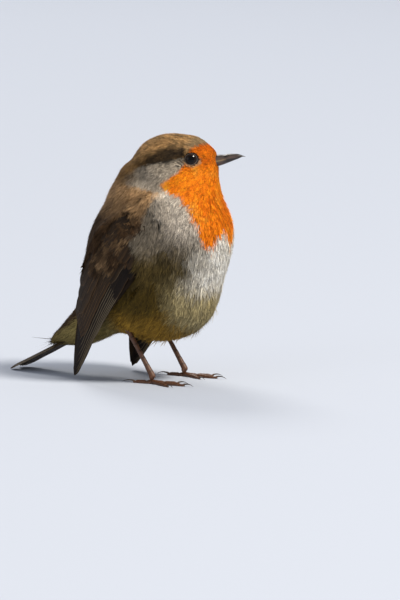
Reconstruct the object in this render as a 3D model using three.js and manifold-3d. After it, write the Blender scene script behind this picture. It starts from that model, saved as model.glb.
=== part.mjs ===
// A life-size European robin, standing upright with drooped wings and its head turned to its left.
// Units are millimetres. X points forward, Y to the bird's left and Z up; the floor is Z = 0.
// The body is one smooth field of blended ellipsoids. It is meshed as rings round a bent axis, then
// parted by thin cuts into head, neck, trunk and rump. Wings, tail, bill, eyes, thighs, legs, toes
// and claws are lofts that the body makes room for.
import * as THREE from "three";
import { mergeVertices } from "three/addons/utils/BufferGeometryUtils.js";
import Module from "manifold-3d";

const wasm = await Module();
wasm.setup();

// ---------- driving dimensions ----------
const HEAD_CENTRE = [9.2, 2.8, 86.2]; // midpoint between the two eyes
const HEAD_YAW = 22; // degrees, towards the bird's left
const HEAD_PITCH = 9; // degrees, bill up
const EYE_RADIUS = 3.8;
const EYE_BALL = [-0.7, 5.9, -0.3]; // the left eyeball's centre in the head's own frame
const BILL_TIP = 19.8; // bill tip in front of the eyes
const BILL_ROOT = 6.5; // where the bill starts, inside the face
const BILL_DEPTH = 4.1;
const BILL_WIDTH = 4.9;
const TAIL_LENGTH = 55;
const TAIL_ROOT = [-21, 0, 25.4];
const TAIL_WIDTH = 15;
const TAIL_TIP_HEIGHT = 0.9; // of the tip's middle over the floor
const FOOT_JOINT = [0, 12.3, 2.1]; // left foot, where the tarsus meets the toes
const HEEL_JOINT = [-13.5, 12.3, 23.4];
const GAP = 0.3; // clearance between touching solids

const rad = THREE.MathUtils.degToRad;
const lerp = THREE.MathUtils.lerp;
const V = (x, y, z) => new THREE.Vector3(x, y, z);

// ---------- frames ----------
// A frame carries local points (x forward, y left, z up) into the body's frame.
function makeFrame(at, yawDeg, pitchDeg) {
  const turn = new THREE.Matrix4().makeRotationZ(rad(yawDeg));
  const tilt = new THREE.Matrix4().makeRotationY(-rad(pitchDeg));
  return new THREE.Matrix4().makeTranslation(...at).multiply(turn).multiply(tilt);
}
const headFrame = makeFrame(HEAD_CENTRE, HEAD_YAW, HEAD_PITCH);

// ---------- the body's field: blended ellipsoids ----------
// at and radii are in the blob's frame; lean tips the ellipsoid's top forward, in degrees.
function blob(at, radii, lean = 0, frame = new THREE.Matrix4()) {
  const place = frame.clone();
  place.multiply(new THREE.Matrix4().makeTranslation(...at));
  place.multiply(new THREE.Matrix4().makeRotationY(rad(lean)));
  return { inverse: place.invert(), radii: V(...radii) };
}
const mirrored = ([x, y, z]) => [x, -y, z];
const pair = (at, ...shape) => [at, mirrored(at)].map((place) => blob(place, ...shape));

const BODY_BLOBS = [
  blob([-6, 0, 48], [27.5, 24.5, 32.5], 14), // trunk
  blob([5.5, 0, 57], [20, 19, 21], 8), // breast
  blob([-1.5, 0, 33.5], [20, 18, 16.5], 15), // belly
  blob([-1.4, 0.5, 73.5], [18.6, 14.5, 15], 10), // neck
  blob([-23, 0, 33.5], [15.5, 14, 12.5], -38), // rump
  blob([-31.5, 0, 22.5], [15, 9.5, 7.5], -30), // vent
  blob([-38, 0, 18], [17, 6.6, 4.2], -24), // tail coverts
];
const HEAD_BLOBS = [
  blob([-6.8, 0, 0], [14.3, 10.3, 10.4], 0, headFrame), // skull and crown
  blob([-13.3, 0, -1.0], [9.4, 10.6, 9.8], -20, headFrame), // nape
  blob([2.2, 0, -2.0], [8.0, 5.4, 6.4], 0, headFrame), // face behind the bill
  blob([0.2, 0, -8.5], [8.0, 7.6, 8.5], 10, headFrame), // throat
  ...pair([-7.6, 6.0, -4.4], [8.2, 5.8, 6.6], 0, headFrame), // cheeks and ear coverts
];
const BLEND = 5.5;
const HEAD_BLEND = 2.6;

function ellipsoidDistance(p, { inverse, radii }) {
  const q = p.clone().applyMatrix4(inverse);
  const k0 = q.clone().divide(radii).length();
  const k1 = q.clone().divide(radii).divide(radii).length();
  return k1 < 1e-9 ? -Math.min(radii.x, radii.y, radii.z) : (k0 * (k0 - 1)) / k1;
}
function smoothMin(a, b, k) {
  const h = Math.max(k - Math.abs(a - b), 0) / k;
  return Math.min(a, b) - (h * h * k) / 4;
}
function blended(p, blobs, blend) {
  return blobs.map((b) => ellipsoidDistance(p, b)).reduce((a, b) => smoothMin(a, b, blend));
}
function bodyField(p) {
  return smoothMin(blended(p, BODY_BLOBS, BLEND), blended(p, HEAD_BLOBS, HEAD_BLEND), BLEND);
}

// ---------- solids from rings ----------
// rings: arrays of equally many points. Each end is closed by a fan to its own centre point.
function ringSolid(rings, start, end) {
  const sides = rings[0].length;
  const points = [...rings.flat(), start, end];
  const index = [];
  const first = points.length - 2;
  const last = points.length - 1;
  for (let j = 0; j < sides; j++) {
    const k = (j + 1) % sides;
    index.push(first, k, j);
    for (let i = 0; i + 1 < rings.length; i++) {
      const [a, b, c, d] = [i * sides + j, i * sides + k, (i + 1) * sides + k, (i + 1) * sides + j];
      index.push(a, b, c, a, c, d);
    }
    const top = (rings.length - 1) * sides;
    index.push(last, top + j, top + k);
  }
  const geometry = new THREE.BufferGeometry().setFromPoints(points);
  geometry.setIndex(index);
  return geometry;
}
const centreOf = (ring) => ring.reduce((sum, p) => sum.add(p), V(0, 0, 0)).divideScalar(ring.length);

// A solid of the library from a three.js geometry; turned inside out if its volume is negative.
function solid(geometry) {
  const bare = new THREE.BufferGeometry();
  bare.setAttribute("position", geometry.getAttribute("position"));
  bare.setIndex(geometry.index);
  const merged = mergeVertices(bare, 1e-4);
  const vertProperties = merged.attributes.position.array;
  const make = (triVerts) => new wasm.Manifold(new wasm.Mesh({ numProp: 3, vertProperties, triVerts }));
  const triVerts = new Uint32Array(merged.index.array);
  const made = make(triVerts);
  return made.volume() > 0 ? made : make(triVerts.toReversed());
}
function geometryOf(manifold) {
  const mesh = manifold.getMesh();
  const geometry = new THREE.BufferGeometry();
  geometry.setAttribute("position", new THREE.BufferAttribute(mesh.vertProperties, 3));
  geometry.setIndex(new THREE.BufferAttribute(mesh.triVerts, 1));
  return geometry;
}

// ---------- the body's mesh ----------
const AXIS = new THREE.CatmullRomCurve3([
  V(-58, 0, 9), V(-36, 0, 20), V(-15, 0, 34), V(-4, 0, 53), V(0, 0.5, 70), V(4, 1.5, 84), V(4.5, 2, 97),
]);
const BODY_RINGS = 32;
const BODY_SIDES = 32;
const REACH = 60; // further than any part of the skin is from the axis
const HALVINGS = 14;
const POLE_SEEDS = [0.2, 0.8]; // places on the axis from which its two ends are looked for
const RING_EVENNESS = 0.3; // 0 crowds the rings towards the ends, 1 spaces them evenly

// The field's surface on the way from a point inside it.
function surfaceAlong(from, direction) {
  let inside = 0;
  let outside = REACH;
  for (let r = 0; r <= REACH; r += 1) {
    if (bodyField(from.clone().addScaledVector(direction, r)) > 0) {
      outside = r;
      break;
    }
    inside = r;
  }
  for (let i = 0; i < HALVINGS; i++) {
    const middle = (inside + outside) / 2;
    if (bodyField(from.clone().addScaledVector(direction, middle)) > 0) outside = middle;
    else inside = middle;
  }
  return from.clone().addScaledVector(direction, inside);
}
function bodyGeometry() {
  const poleAt = (t, sign) => surfaceAlong(AXIS.getPointAt(t), AXIS.getTangentAt(t).multiplyScalar(sign));
  const startPole = poleAt(POLE_SEEDS[0], -1);
  const endPole = poleAt(POLE_SEEDS[1], 1);
  const nearestOnAxis = (pole) => {
    let best = 0;
    for (let t = 0; t <= 1; t += 0.002) {
      if (AXIS.getPointAt(t).distanceTo(pole) < AXIS.getPointAt(best).distanceTo(pole)) best = t;
    }
    return best;
  };
  const [t0, t1] = [startPole, endPole].map(nearestOnAxis);
  const rings = [];
  for (let i = 1; i <= BODY_RINGS; i++) {
    const even = i / (BODY_RINGS + 1);
    const crowded = (1 - Math.cos(Math.PI * even)) / 2;
    const t = lerp(t0, t1, lerp(crowded, even, RING_EVENNESS));
    const centre = AXIS.getPointAt(t);
    const tangent = AXIS.getTangentAt(t);
    const side = V(0, 1, 0).cross(tangent).normalize();
    const across = tangent.clone().cross(side).normalize();
    const ring = [];
    for (let j = 0; j < BODY_SIDES; j++) {
      const a = (2 * Math.PI * j) / BODY_SIDES;
      const out = side.clone().multiplyScalar(Math.cos(a)).addScaledVector(across, Math.sin(a));
      ring.push(surfaceAlong(centre, out));
    }
    rings.push(ring);
  }
  return ringSolid(rings, startPole, endPole);
}

// The same place on the left (side 1) or the right (side -1).
const onSide = (side, [x, y, z]) => [x, side * y, z];

// ---------- smooth values along a length ----------
// keys: [[position, value], ...]; values may be numbers or arrays. Returns a smooth function of position.
function along(keys) {
  const wide = keys.map(([, value]) => [value].flat());
  const trackOf = (_, i) => new THREE.CatmullRomCurve3(keys.map(([at], k) => V(at, wide[k][i], 0)));
  const tracks = wide[0].map(trackOf);
  return (x) => {
    const passed = keys.filter(([at]) => at < x).length;
    const k = Math.min(Math.max(1, passed), keys.length - 1);
    const u = (x - keys[k - 1][0]) / (keys[k][0] - keys[k - 1][0]);
    const values = tracks.map((track) => track.getPoint((k - 1 + u) / (keys.length - 1)).y);
    return values.length === 1 ? values[0] : values;
  };
}

// A thin bowed lens: the ring of a wing or tail. across is its width's direction, out its upper side's.
function lensRing(centre, across, out, { width, thick, bow, sides }) {
  const ring = [];
  for (let j = 0; j < sides; j++) {
    const a = (2 * Math.PI * j) / sides;
    const w = (width / 2) * Math.cos(a);
    const sag = bow ? (w * w) / (2 * bow) : 0;
    const h = (thick / 2) * Math.sin(a) - sag;
    ring.push(centre.clone().addScaledVector(across, w).addScaledVector(out, h));
  }
  return ring;
}

// ---------- wings ----------
// Stations from the bend to the tip: [share of length, [centre x, |y|, z, outward x, |y|, z, width,
// thickness, bow radius]].
const WING_RINGS = 14;
const WING_SIDES = 14;
const WING_STEP = 0.02; // share of the length over which the wing's direction is taken
const WING_TIP_LEFT = [5, 0.5, -0.4]; // the left wing hangs with its tip this much further forward
const WING_KEYS = [
  [0.0, [2.5, 20.5, 65, 0.2, 1, 0.1, 8, 3.2, 16]],
  [0.15, [-4.6, 23.0, 57.6, -0.1, 1, 0.12, 19, 4.6, 20]],
  [0.32, [-12.4, 23.9, 48, -0.28, 1, 0.1, 26, 4.8, 23]],
  [0.52, [-19.4, 23.2, 35.6, -0.38, 1, 0.05, 22, 4.0, 27]],
  [0.72, [-25.3, 21.0, 21.8, -0.45, 1, 0.0, 15.2, 2.8, 34]],
  [0.88, [-29.6, 18.9, 9.8, -0.5, 1, 0.0, 9.7, 1.9, 60]],
  [1.0, [-32.6, 17.2, 1.6, -0.5, 1, 0.0, 3, 1.1, 90]],
];
const wingAt = along(WING_KEYS);
function wingGeometry(side, grow = 0) {
  const centreAt = (s) => {
    const [x, y, z] = wingAt(s);
    const swing = side > 0 ? s * s : 0;
    return V(x, side * y, z).addScaledVector(V(...WING_TIP_LEFT), swing);
  };
  const rings = [];
  for (let i = 0; i <= WING_RINGS; i++) {
    const s = i / WING_RINGS;
    const [, , , ox, oy, oz, width, thick, bow] = wingAt(s);
    const run = centreAt(Math.min(1, s + WING_STEP)).sub(centreAt(Math.max(0, s - WING_STEP))).normalize();
    const across = V(ox, side * oy, oz).cross(run).normalize();
    const out = run.clone().cross(across).normalize();
    const shape = { width: width + 2 * grow, thick: thick + 2 * grow, bow, sides: WING_SIDES };
    rings.push(lensRing(centreAt(s).addScaledVector(run, grow * (2 * s - 1)), across, out, shape));
  }
  return ringSolid(rings, centreOf(rings[0]), centreOf(rings[WING_RINGS]));
}

// ---------- tail: a left and a right half of six feathers each ----------
const TAIL_RINGS = 10;
const TAIL_SIDES = 12;
const TAIL_BOW = 40;
const TAIL_ROOF = 0.18; // how steeply each half slopes down from the middle
const tailDrop = TAIL_ROOT[2] - TAIL_TIP_HEIGHT;
const tailRun = V(-Math.sqrt(TAIL_LENGTH ** 2 - tailDrop ** 2), 0, -tailDrop).normalize();
const tailAt = along([
  [0.0, [3.2, 2.4]],
  [0.5, [5.6, 2.2]],
  [0.85, [TAIL_WIDTH / 2, 1.7]],
  [0.95, [TAIL_WIDTH / 2 - 0.5, 1.4]],
  [1.0, [TAIL_WIDTH / 2 - 2.6, 1.0]],
]); // share of length: [half width, thickness]
function tailGeometry(side, grow = 0) {
  const up = V(0, 1, 0).cross(tailRun).normalize();
  const rings = [];
  for (let i = 0; i <= TAIL_RINGS; i++) {
    const s = i / TAIL_RINGS;
    const [half, thick] = tailAt(s);
    const inner = GAP / 2 - grow;
    const centre = V(...TAIL_ROOT).addScaledVector(tailRun, s * TAIL_LENGTH + grow * (2 * s - 1));
    centre.addScaledVector(V(0, side, 0), (half + inner) / 2);
    centre.addScaledVector(up, (-TAIL_ROOF * half) / 2);
    const tilt = V(0, side, 0).addScaledVector(up, -TAIL_ROOF).normalize();
    const out = up.clone().addScaledVector(V(0, side, 0), TAIL_ROOF).normalize();
    const shape = { width: half - inner + grow, thick: thick + 2 * grow, bow: TAIL_BOW, sides: TAIL_SIDES };
    rings.push(lensRing(centre, tilt, out, shape));
  }
  return ringSolid(rings, centreOf(rings[0]), centreOf(rings[TAIL_RINGS]));
}

// ---------- bill ----------
// Stations along the head's x: [x, [top z, bottom z, half width]].
const BILL_GAPE = -2.5; // height of the line between the halves, where the bill starts
const BILL_GAPE_RISE = 0.3; // from there to the tip
const BILL_THIN = 0.35; // the least height of a half
const BILL_LOWER_SHORT = 0.7; // the lower half ends this much behind the upper
const BILL_FLAT = 0.06; // how much a half bulges over the line between them
const billAt = along([
  [BILL_ROOT, [-0.3, -0.4 - BILL_DEPTH, BILL_WIDTH / 2]],
  [10, [-0.45, -0.5 - BILL_DEPTH, BILL_WIDTH / 2 - 0.25]],
  [14, [-0.5, -4.1, 1.65]],
  [17.4, [-1.0, -3.3, 0.95]],
  [BILL_TIP, [-2.2, -2.8, 0.25]],
]);
const BILL_RINGS = 8;
const BILL_SIDES = 12;
function billGeometry(upper, grow = 0) {
  const rings = [];
  for (let i = 0; i <= BILL_RINGS; i++) {
    const s = i / BILL_RINGS;
    const x = lerp(BILL_ROOT, BILL_TIP - (upper ? 0 : BILL_LOWER_SHORT), s);
    const [top, bottom, half] = billAt(x);
    const gape = Math.min(BILL_GAPE + BILL_GAPE_RISE * s, top - BILL_THIN);
    const low = Math.min(bottom, gape - BILL_THIN);
    const height = upper ? top - gape : gape - low;
    const ring = [];
    for (let j = 0; j < BILL_SIDES; j++) {
      const a = (2 * Math.PI * j) / BILL_SIDES;
      const rise = Math.sin(a);
      const flat = upper ? Math.max(rise, -BILL_FLAT) : Math.min(rise, BILL_FLAT);
      const wide = (half + grow) * Math.sign(Math.cos(a)) * Math.abs(Math.cos(a)) ** 0.8;
      const lift = upper ? GAP / 2 : -GAP / 2;
      ring.push(V(x, wide, gape + lift + flat * (height + grow)).applyMatrix4(headFrame));
    }
    rings.push(ring);
  }
  const ends = [rings[0], rings[BILL_RINGS]].map(centreOf);
  return ringSolid(rings, ...ends);
}

// ---------- eyes ----------
function eyeGeometry(side, grow = 0) {
  const ball = new THREE.SphereGeometry(EYE_RADIUS + grow, 14, 10);
  return ball.translate(...onSide(side, EYE_BALL)).applyMatrix4(headFrame);
}

// ---------- round limbs: a tube with its own radius at each point of a curve ----------
const LIMB_CAP = 0.4; // how far an end bulges, as a share of its radius
function limbGeometry(path, radiusAt, sides, steps, grow = 0) {
  const curve = new THREE.CatmullRomCurve3(path.map((p) => V(...p)));
  const frames = curve.computeFrenetFrames(steps, false);
  const rings = [];
  for (let i = 0; i <= steps; i++) {
    const radius = radiusAt(i / steps) + grow;
    const centre = curve.getPointAt(i / steps);
    const ring = [];
    for (let j = 0; j < sides; j++) {
      const a = (2 * Math.PI * j) / sides;
      const out = frames.normals[i].clone().multiplyScalar(Math.cos(a));
      out.addScaledVector(frames.binormals[i], Math.sin(a));
      ring.push(centre.clone().addScaledVector(out, radius));
    }
    rings.push(ring);
  }
  const cap = (at, sign) => {
    const bulge = LIMB_CAP * radiusAt(at) + grow;
    return curve.getPointAt(at).addScaledVector(curve.getTangentAt(at), sign * bulge);
  };
  return ringSolid(rings, cap(0, -1), cap(1, 1));
}

// ---------- legs ----------
const THIGH_TOP = [-5, 12.0, 32];
const THIGH_END = [-11.6, 12.3, 20.2]; // the feathers end here, part of the way down the tarsus
function thighGeometry(side, grow = 0) {
  const path = [THIGH_TOP, [-9, 12.2, 25.5], THIGH_END].map((p) => onSide(side, p));
  const radius = along([[0, 8.5], [0.5, 6.4], [0.85, 3.2], [1, 2.0]]);
  return limbGeometry(path, radius, 14, 8, grow);
}
function tarsusGeometry(side, grow = 0) {
  const [foot, heel] = [FOOT_JOINT, HEEL_JOINT].map((p) => V(...onSide(side, p)));
  const path = [0.02, 0.35, 0.7, 1].map((s) => foot.clone().lerp(heel, s).toArray());
  const radius = along([[0, 1.35], [0.12, 1.05], [0.5, 0.85], [0.85, 1.0], [1, 1.5]]);
  return limbGeometry(path, radius, 10, 9, grow);
}

// ---------- toes and claws ----------
// [name, heading in degrees outward from straight ahead, start and end from the foot joint, radius]
const TOES = [
  ["hallux", 176, 1.7, 8.5, 0.95],
  ["inner_toe", -27, 2.3, 9.5, 0.85],
  ["middle_toe", 1, 1.7, 13.5, 0.95],
  ["outer_toe", 29, 2.3, 10.5, 0.85],
];
const MIDDLE_TOE = TOES[2];
const CLAW_REACH = { hallux: 5.2, inner_toe: 3.6, middle_toe: 4.2, outer_toe: 3.6 };
const TOE_PRESS = 0.16; // how far the toe pads are flattened by the floor
function toeHeading(side, degrees) {
  return V(Math.cos(rad(degrees)), side * Math.sin(rad(degrees)), 0);
}
function toeGeometry(side, [, degrees, start, length, thick], grow = 0) {
  const heading = toeHeading(side, degrees);
  const taper = (s) => thick * (1.08 - 0.28 * s);
  const pads = (s) => taper(s) + 0.09 * thick * Math.cos(2 * Math.PI * (2.5 * s + 0.1));
  const path = [start / length, 0.45, 0.75, 1].map((s) => {
    const at = V(...onSide(side, FOOT_JOINT)).setZ(taper(s) - TOE_PRESS);
    return at.addScaledVector(heading, s * length).toArray();
  });
  return limbGeometry(path, pads, 7, 8, grow);
}
function clawGeometry(side, [name, degrees, , length]) {
  const heading = toeHeading(side, degrees);
  const reach = CLAW_REACH[name];
  const joint = V(...onSide(side, FOOT_JOINT));
  const at = (s, height) => joint.clone().setZ(height).addScaledVector(heading, length + s).toArray();
  const path = [at(0.75, 0.8), at(reach * 0.4, 1.25), at(reach * 0.75, 1.0), at(reach, 0.28)];
  return limbGeometry(path, along([[0, 0.5], [0.5, 0.42], [1, 0.18]]), 6, 5);
}

// ---------- materials ----------
const matte = (color, roughness = 0.9) => new THREE.MeshStandardMaterial({ color, roughness, metalness: 0 });
const MATERIALS = {
  headPlumage: matte(0xc8681e),
  bodyPlumage: matte(0x9a8f78),
  flightFeathers: matte(0x54432c, 0.75),
  horn: matte(0x2e2622, 0.4),
  eye: matte(0x0c0806, 0.08),
  legSkin: matte(0x6a4028, 0.55),
};

// ---------- assembly ----------
const robin = new THREE.Group();
const byVolume = (a, b) => b.volume() - a.volume();
function addNode(name, manifold, material) {
  const aboveFloor = manifold.trimByPlane([0, 0, 1], 0).simplify(0.05);
  const [whole] = aboveFloor.decompose().sort(byVolume); // leaves out the chips of a thin edge
  const mesh = new THREE.Mesh(geometryOf(whole), material);
  mesh.name = name;
  robin.add(mesh);
}
const SIDES = [["left", 1], ["right", -1]];
const without = (piece, geometries) => geometries.reduce((rest, g) => rest.subtract(solid(g)), piece);

// The part of a solid between two parallel cuts, each keeping half the gap. normal points up the body.
function between(piece, lower, upper) {
  let kept = piece;
  if (lower) kept = kept.trimByPlane(lower.normal, lower.offset + GAP / 2);
  if (upper) kept = kept.trimByPlane(upper.normal.map((n) => -n), -(upper.offset - GAP / 2));
  return kept;
}
function cut(through, leanDeg) {
  const normal = V(Math.sin(rad(leanDeg)), 0, Math.cos(rad(leanDeg)));
  return { normal: normal.toArray(), offset: normal.dot(V(...through)) };
}
const HEAD_CUT = cut([2, 0, 76.5], -12);
const NECK_CUT = cut([-2, 0, 66], 8);
const RUMP_CUT = cut([-27, 0, 24], 62);

const body = solid(bodyGeometry());
const wingBeds = SIDES.map(([, side]) => wingGeometry(side, GAP));
const thighBeds = SIDES.map(([, side]) => thighGeometry(side, GAP));
const tarsusBeds = SIDES.map(([, side]) => tarsusGeometry(side, GAP));
const tailBeds = SIDES.map(([, side]) => tailGeometry(side, GAP));
const headBeds = [true, false].map((upper) => billGeometry(upper, GAP));
headBeds.push(...SIDES.map(([, side]) => eyeGeometry(side, GAP)));

const shell = without(body, [...wingBeds, ...thighBeds, ...tarsusBeds, ...tailBeds]);
addNode("head", without(between(shell, HEAD_CUT, null), headBeds), MATERIALS.headPlumage);
addNode("neck", between(shell, NECK_CUT, HEAD_CUT), MATERIALS.bodyPlumage);
addNode("trunk", between(shell, RUMP_CUT, NECK_CUT), MATERIALS.bodyPlumage);
addNode("rump", between(shell, null, RUMP_CUT), MATERIALS.bodyPlumage);
addNode("bill_upper", solid(billGeometry(true)), MATERIALS.horn);
addNode("bill_lower", solid(billGeometry(false)), MATERIALS.horn);
for (const [name, side] of SIDES) {
  addNode(`eye_${name}`, solid(eyeGeometry(side)), MATERIALS.eye);
  addNode(`wing_${name}`, solid(wingGeometry(side)), MATERIALS.flightFeathers);
  addNode(`tail_${name}`, solid(tailGeometry(side)), MATERIALS.flightFeathers);
  addNode(`thigh_${name}`, without(solid(thighGeometry(side)), tarsusBeds), MATERIALS.bodyPlumage);
  addNode(`tarsus_${name}`, solid(tarsusGeometry(side)), MATERIALS.legSkin);
  for (const toe of TOES) {
    const neighbour = toe === MIDDLE_TOE ? [] : [toeGeometry(side, MIDDLE_TOE, GAP)];
    addNode(`${toe[0]}_${name}`, without(solid(toeGeometry(side, toe)), neighbour), MATERIALS.legSkin);
    addNode(`${toe[0]}_claw_${name}`, solid(clawGeometry(side, toe)), MATERIALS.horn);
  }
}

// The origin is the middle of the underside of the box round the bird.
const box = new THREE.Box3().setFromObject(robin);
robin.position.set(-(box.min.x + box.max.x) / 2, -(box.min.y + box.max.y) / 2, 0);

export default robin;
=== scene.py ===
"""A life-size European robin in Blender: one skin round the whole body, with every feather as mesh over it.

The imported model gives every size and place. Lengths below are in millimetres, colours are linear RGB.
Three frames are used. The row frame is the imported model's. The bird frame is the same with its origin on the
floor between the feet. The plain frame is the bird frame with the head turned back to face straight ahead, so
that left and right match: the plumage's markings are laid out there.
"""

import math
from typing import NamedTuple

import bpy
import numpy as np
from mathutils import Matrix, Vector
from mathutils.bvhtree import BVHTree


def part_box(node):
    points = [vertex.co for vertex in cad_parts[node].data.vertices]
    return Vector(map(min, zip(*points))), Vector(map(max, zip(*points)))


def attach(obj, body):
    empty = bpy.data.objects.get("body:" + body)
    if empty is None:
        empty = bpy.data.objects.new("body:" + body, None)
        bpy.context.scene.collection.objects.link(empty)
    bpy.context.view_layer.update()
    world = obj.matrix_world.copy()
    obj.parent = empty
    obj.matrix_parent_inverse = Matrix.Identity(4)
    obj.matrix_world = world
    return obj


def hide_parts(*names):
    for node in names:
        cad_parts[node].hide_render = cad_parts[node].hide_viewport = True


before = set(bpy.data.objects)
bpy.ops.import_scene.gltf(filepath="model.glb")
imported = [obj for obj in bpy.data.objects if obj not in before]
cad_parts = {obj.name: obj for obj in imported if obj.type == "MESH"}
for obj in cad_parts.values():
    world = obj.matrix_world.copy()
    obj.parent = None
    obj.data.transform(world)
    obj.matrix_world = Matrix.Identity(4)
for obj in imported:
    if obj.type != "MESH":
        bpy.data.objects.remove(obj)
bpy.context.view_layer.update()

MM = 0.001
SIDES = {"left": 1.0, "right": -1.0}
TOES = ("hallux", "inner_toe", "middle_toe", "outer_toe")
RANDOM = np.random.default_rng(17)


# ---------- small tools ----------
def smoothstep(low, high, x):
    t = np.clip((np.asarray(x, float) - low) / (high - low), 0.0, 1.0)
    return t * t * (3.0 - 2.0 * t)


def unit(v):
    v = np.asarray(v, float)
    return v / np.maximum(np.linalg.norm(v, axis=-1, keepdims=True), 1e-12)


def across(v, normal):
    """v without its part along normal."""
    return v - normal * np.sum(v * normal, axis=-1, keepdims=True)


def lerp(a, b, t):
    return a + (b - a) * t


def mix(a, b, share):
    share = np.asarray(share, float)[..., None]
    return np.asarray(a) * (1.0 - share) + np.asarray(b) * share


CELL_CORNERS = np.array([[k & 1, k >> 1 & 1, k >> 2] for k in range(8)])
NOISE_PRIMES = np.array([73856093, 19349663, 83492791])
NOISE_MIXER = 1274126177
SEED_STEP = 17.31  # two seeds' noises lie this far apart


def cell_weights(cell, share):
    """Each corner of these grid cells in turn, and its weight at this share of the way across a cell."""
    for corner in CELL_CORNERS:
        yield cell + corner, np.prod(np.where(corner, share, 1.0 - share), axis=1)


def full_turn(steps):
    return np.linspace(0, 2 * math.pi, steps, endpoint=False)


def noise(points, size, seed):
    """Smooth noise from -1 to 1 with bumps about size mm across."""
    p = np.asarray(points, float) / size + seed * SEED_STEP
    cell = np.floor(p).astype(np.int64)
    total = np.zeros(len(p))
    for corner, weight in cell_weights(cell, smoothstep(0.0, 1.0, p - cell)):
        h = np.bitwise_xor.reduce(corner * NOISE_PRIMES, axis=1)
        h = (h ^ (h >> 13)) * NOISE_MIXER
        total += (((h ^ (h >> 16)) & 0xFFFF) / 32767.5 - 1.0) * weight
    return total


def smoothed(values, half):
    """A running mean over this many values on either side."""
    return np.convolve(np.pad(values, half, mode="edge"), np.ones(2 * half + 1) / (2 * half + 1), "valid")


# ---------- meshes as arrays ----------
def read(items, attribute, width, kind):
    """An attribute of every item of a Blender collection, as rows of width numbers."""
    values = np.empty(len(items) * width, kind)
    items.foreach_get(attribute, values)
    return values.reshape(-1, width)


def node_mesh(name):
    """A CAD node's points in mm and its triangles, with points that share a place joined."""
    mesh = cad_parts[name].data
    mesh.calc_loop_triangles()
    co = read(mesh.vertices, "co", 3, float)
    points, index = np.unique(np.round(co / MM, 4), axis=0, return_inverse=True)
    tris = index.ravel()[read(mesh.loop_triangles, "vertices", 3, np.int32)]
    return points, tris[(tris != np.roll(tris, 1, axis=1)).all(axis=1)]


def merged(meshes):
    """The points and the faces of several meshes as those of one."""
    starts = np.cumsum([0, *(len(points) for points, _ in meshes[:-1])])
    points = np.concatenate([points for points, _ in meshes])
    return points, np.concatenate([faces + start for (_, faces), start in zip(meshes, starts)])


def face_normals(points, tris):
    """Each triangle's normal, as long as twice its area."""
    a, b, c = (points[tris[:, k]] for k in range(3))
    return np.cross(b - a, c - a)


def point_normals(points, tris):
    total = np.zeros_like(points)
    normals = face_normals(points, tris)
    for k in range(3):
        np.add.at(total, tris[:, k], normals)
    return unit(total)


def random_places(points, tris):
    """A random place on each of the triangles."""
    a, b, c = (points[tris[:, k]] for k in range(3))
    u, v = RANDOM.random((2, len(tris)))
    flip = u + v > 1
    u[flip], v[flip] = 1 - u[flip], 1 - v[flip]
    return a + (b - a) * u[:, None] + (c - a) * v[:, None]


def closed_rings(rings, start, end, along):
    """A surface through rings of points with a point in the middle of each end.

    Returns its points, its quads, the triangles of its ends, and its bake map, where along is each ring's
    place from 0 to 1."""
    rows, sides = rings.shape[:2]
    index = np.arange(rows * sides).reshape(rows, sides)
    following = np.roll(index, -1, axis=1)
    quads = np.stack([index[:-1], following[:-1], following[1:], index[1:]], axis=-1).reshape(-1, 4)
    ends = [np.stack([np.full(sides, rows * sides), following[0], index[0]], axis=1),
            np.stack([np.full(sides, rows * sides + 1), index[-1], following[-1]], axis=1)]
    uv = np.stack([np.tile(np.arange(sides) / sides, rows), np.repeat(along, sides)], axis=1)
    uv = np.concatenate([uv, [[0.5, 0.0], [0.5, 1.0]]])
    return np.concatenate([rings.reshape(-1, 3), [start, end]]), quads, np.concatenate(ends), uv


def turned_round(faces):
    """The same faces seen from the other side, each from the same first corner."""
    return np.roll(faces[:, ::-1], 1, axis=1)


def relax(points, edges, rounds, amount=0.5):
    count = np.maximum(np.bincount(edges.ravel(), minlength=len(points)), 1)[:, None]
    for _ in range(rounds):
        total = np.zeros_like(points)
        np.add.at(total, edges[:, 0], points[edges[:, 1]])
        np.add.at(total, edges[:, 1], points[edges[:, 0]])
        points = points + amount * (total / count - points)
    return points


def tree_of(points, tris):
    return BVHTree.FromPolygons(points.tolist(), tris.tolist())


def build(name, points, faces, colors=None, bake_uv=None, vane_uv=None, material=None):
    """A mesh object from arrays. faces is one array or a list of arrays, each with one number of corners."""
    face_sets = faces if isinstance(faces, list) else [faces]
    corners = np.concatenate([f.ravel() for f in face_sets]).astype(np.int32)
    sizes = np.concatenate([np.full(len(f), f.shape[1]) for f in face_sets])
    mesh = bpy.data.meshes.new(name)
    mesh.vertices.add(len(points))
    mesh.vertices.foreach_set("co", (np.asarray(points) * MM).astype(np.float32).ravel())
    mesh.loops.add(len(corners))
    mesh.loops.foreach_set("vertex_index", corners)
    mesh.polygons.add(len(sizes))
    starts = np.concatenate([[0], np.cumsum(sizes)[:-1]]).astype(np.int32)
    mesh.polygons.foreach_set("loop_start", starts)
    mesh.update(calc_edges=True)
    mesh.polygons.foreach_set("use_smooth", np.ones(len(sizes), bool))
    if colors is not None:
        layer = mesh.color_attributes.new("Plumage", "FLOAT_COLOR", "POINT")
        rgba = np.ones((len(points), 4), np.float32)
        rgba[:, :3] = colors
        layer.data.foreach_set("color", rgba.ravel())
    for layer_name, uv in (("OFBake", bake_uv), ("Vane", vane_uv)):
        if uv is not None:
            layer = mesh.uv_layers.new(name=layer_name)
            layer.data.foreach_set("uv", np.asarray(uv, np.float32)[corners].ravel())
    obj = bpy.data.objects.new(name, mesh)
    bpy.context.scene.collection.objects.link(obj)
    if material is not None:
        mesh.materials.append(material)
    return obj


def ride(obj, slot, *replaced):
    """The piece belongs to the bird's one body and stands for these CAD nodes; slot is not used."""
    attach(obj, "root")
    if replaced:
        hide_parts(*replaced)
    return obj


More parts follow.
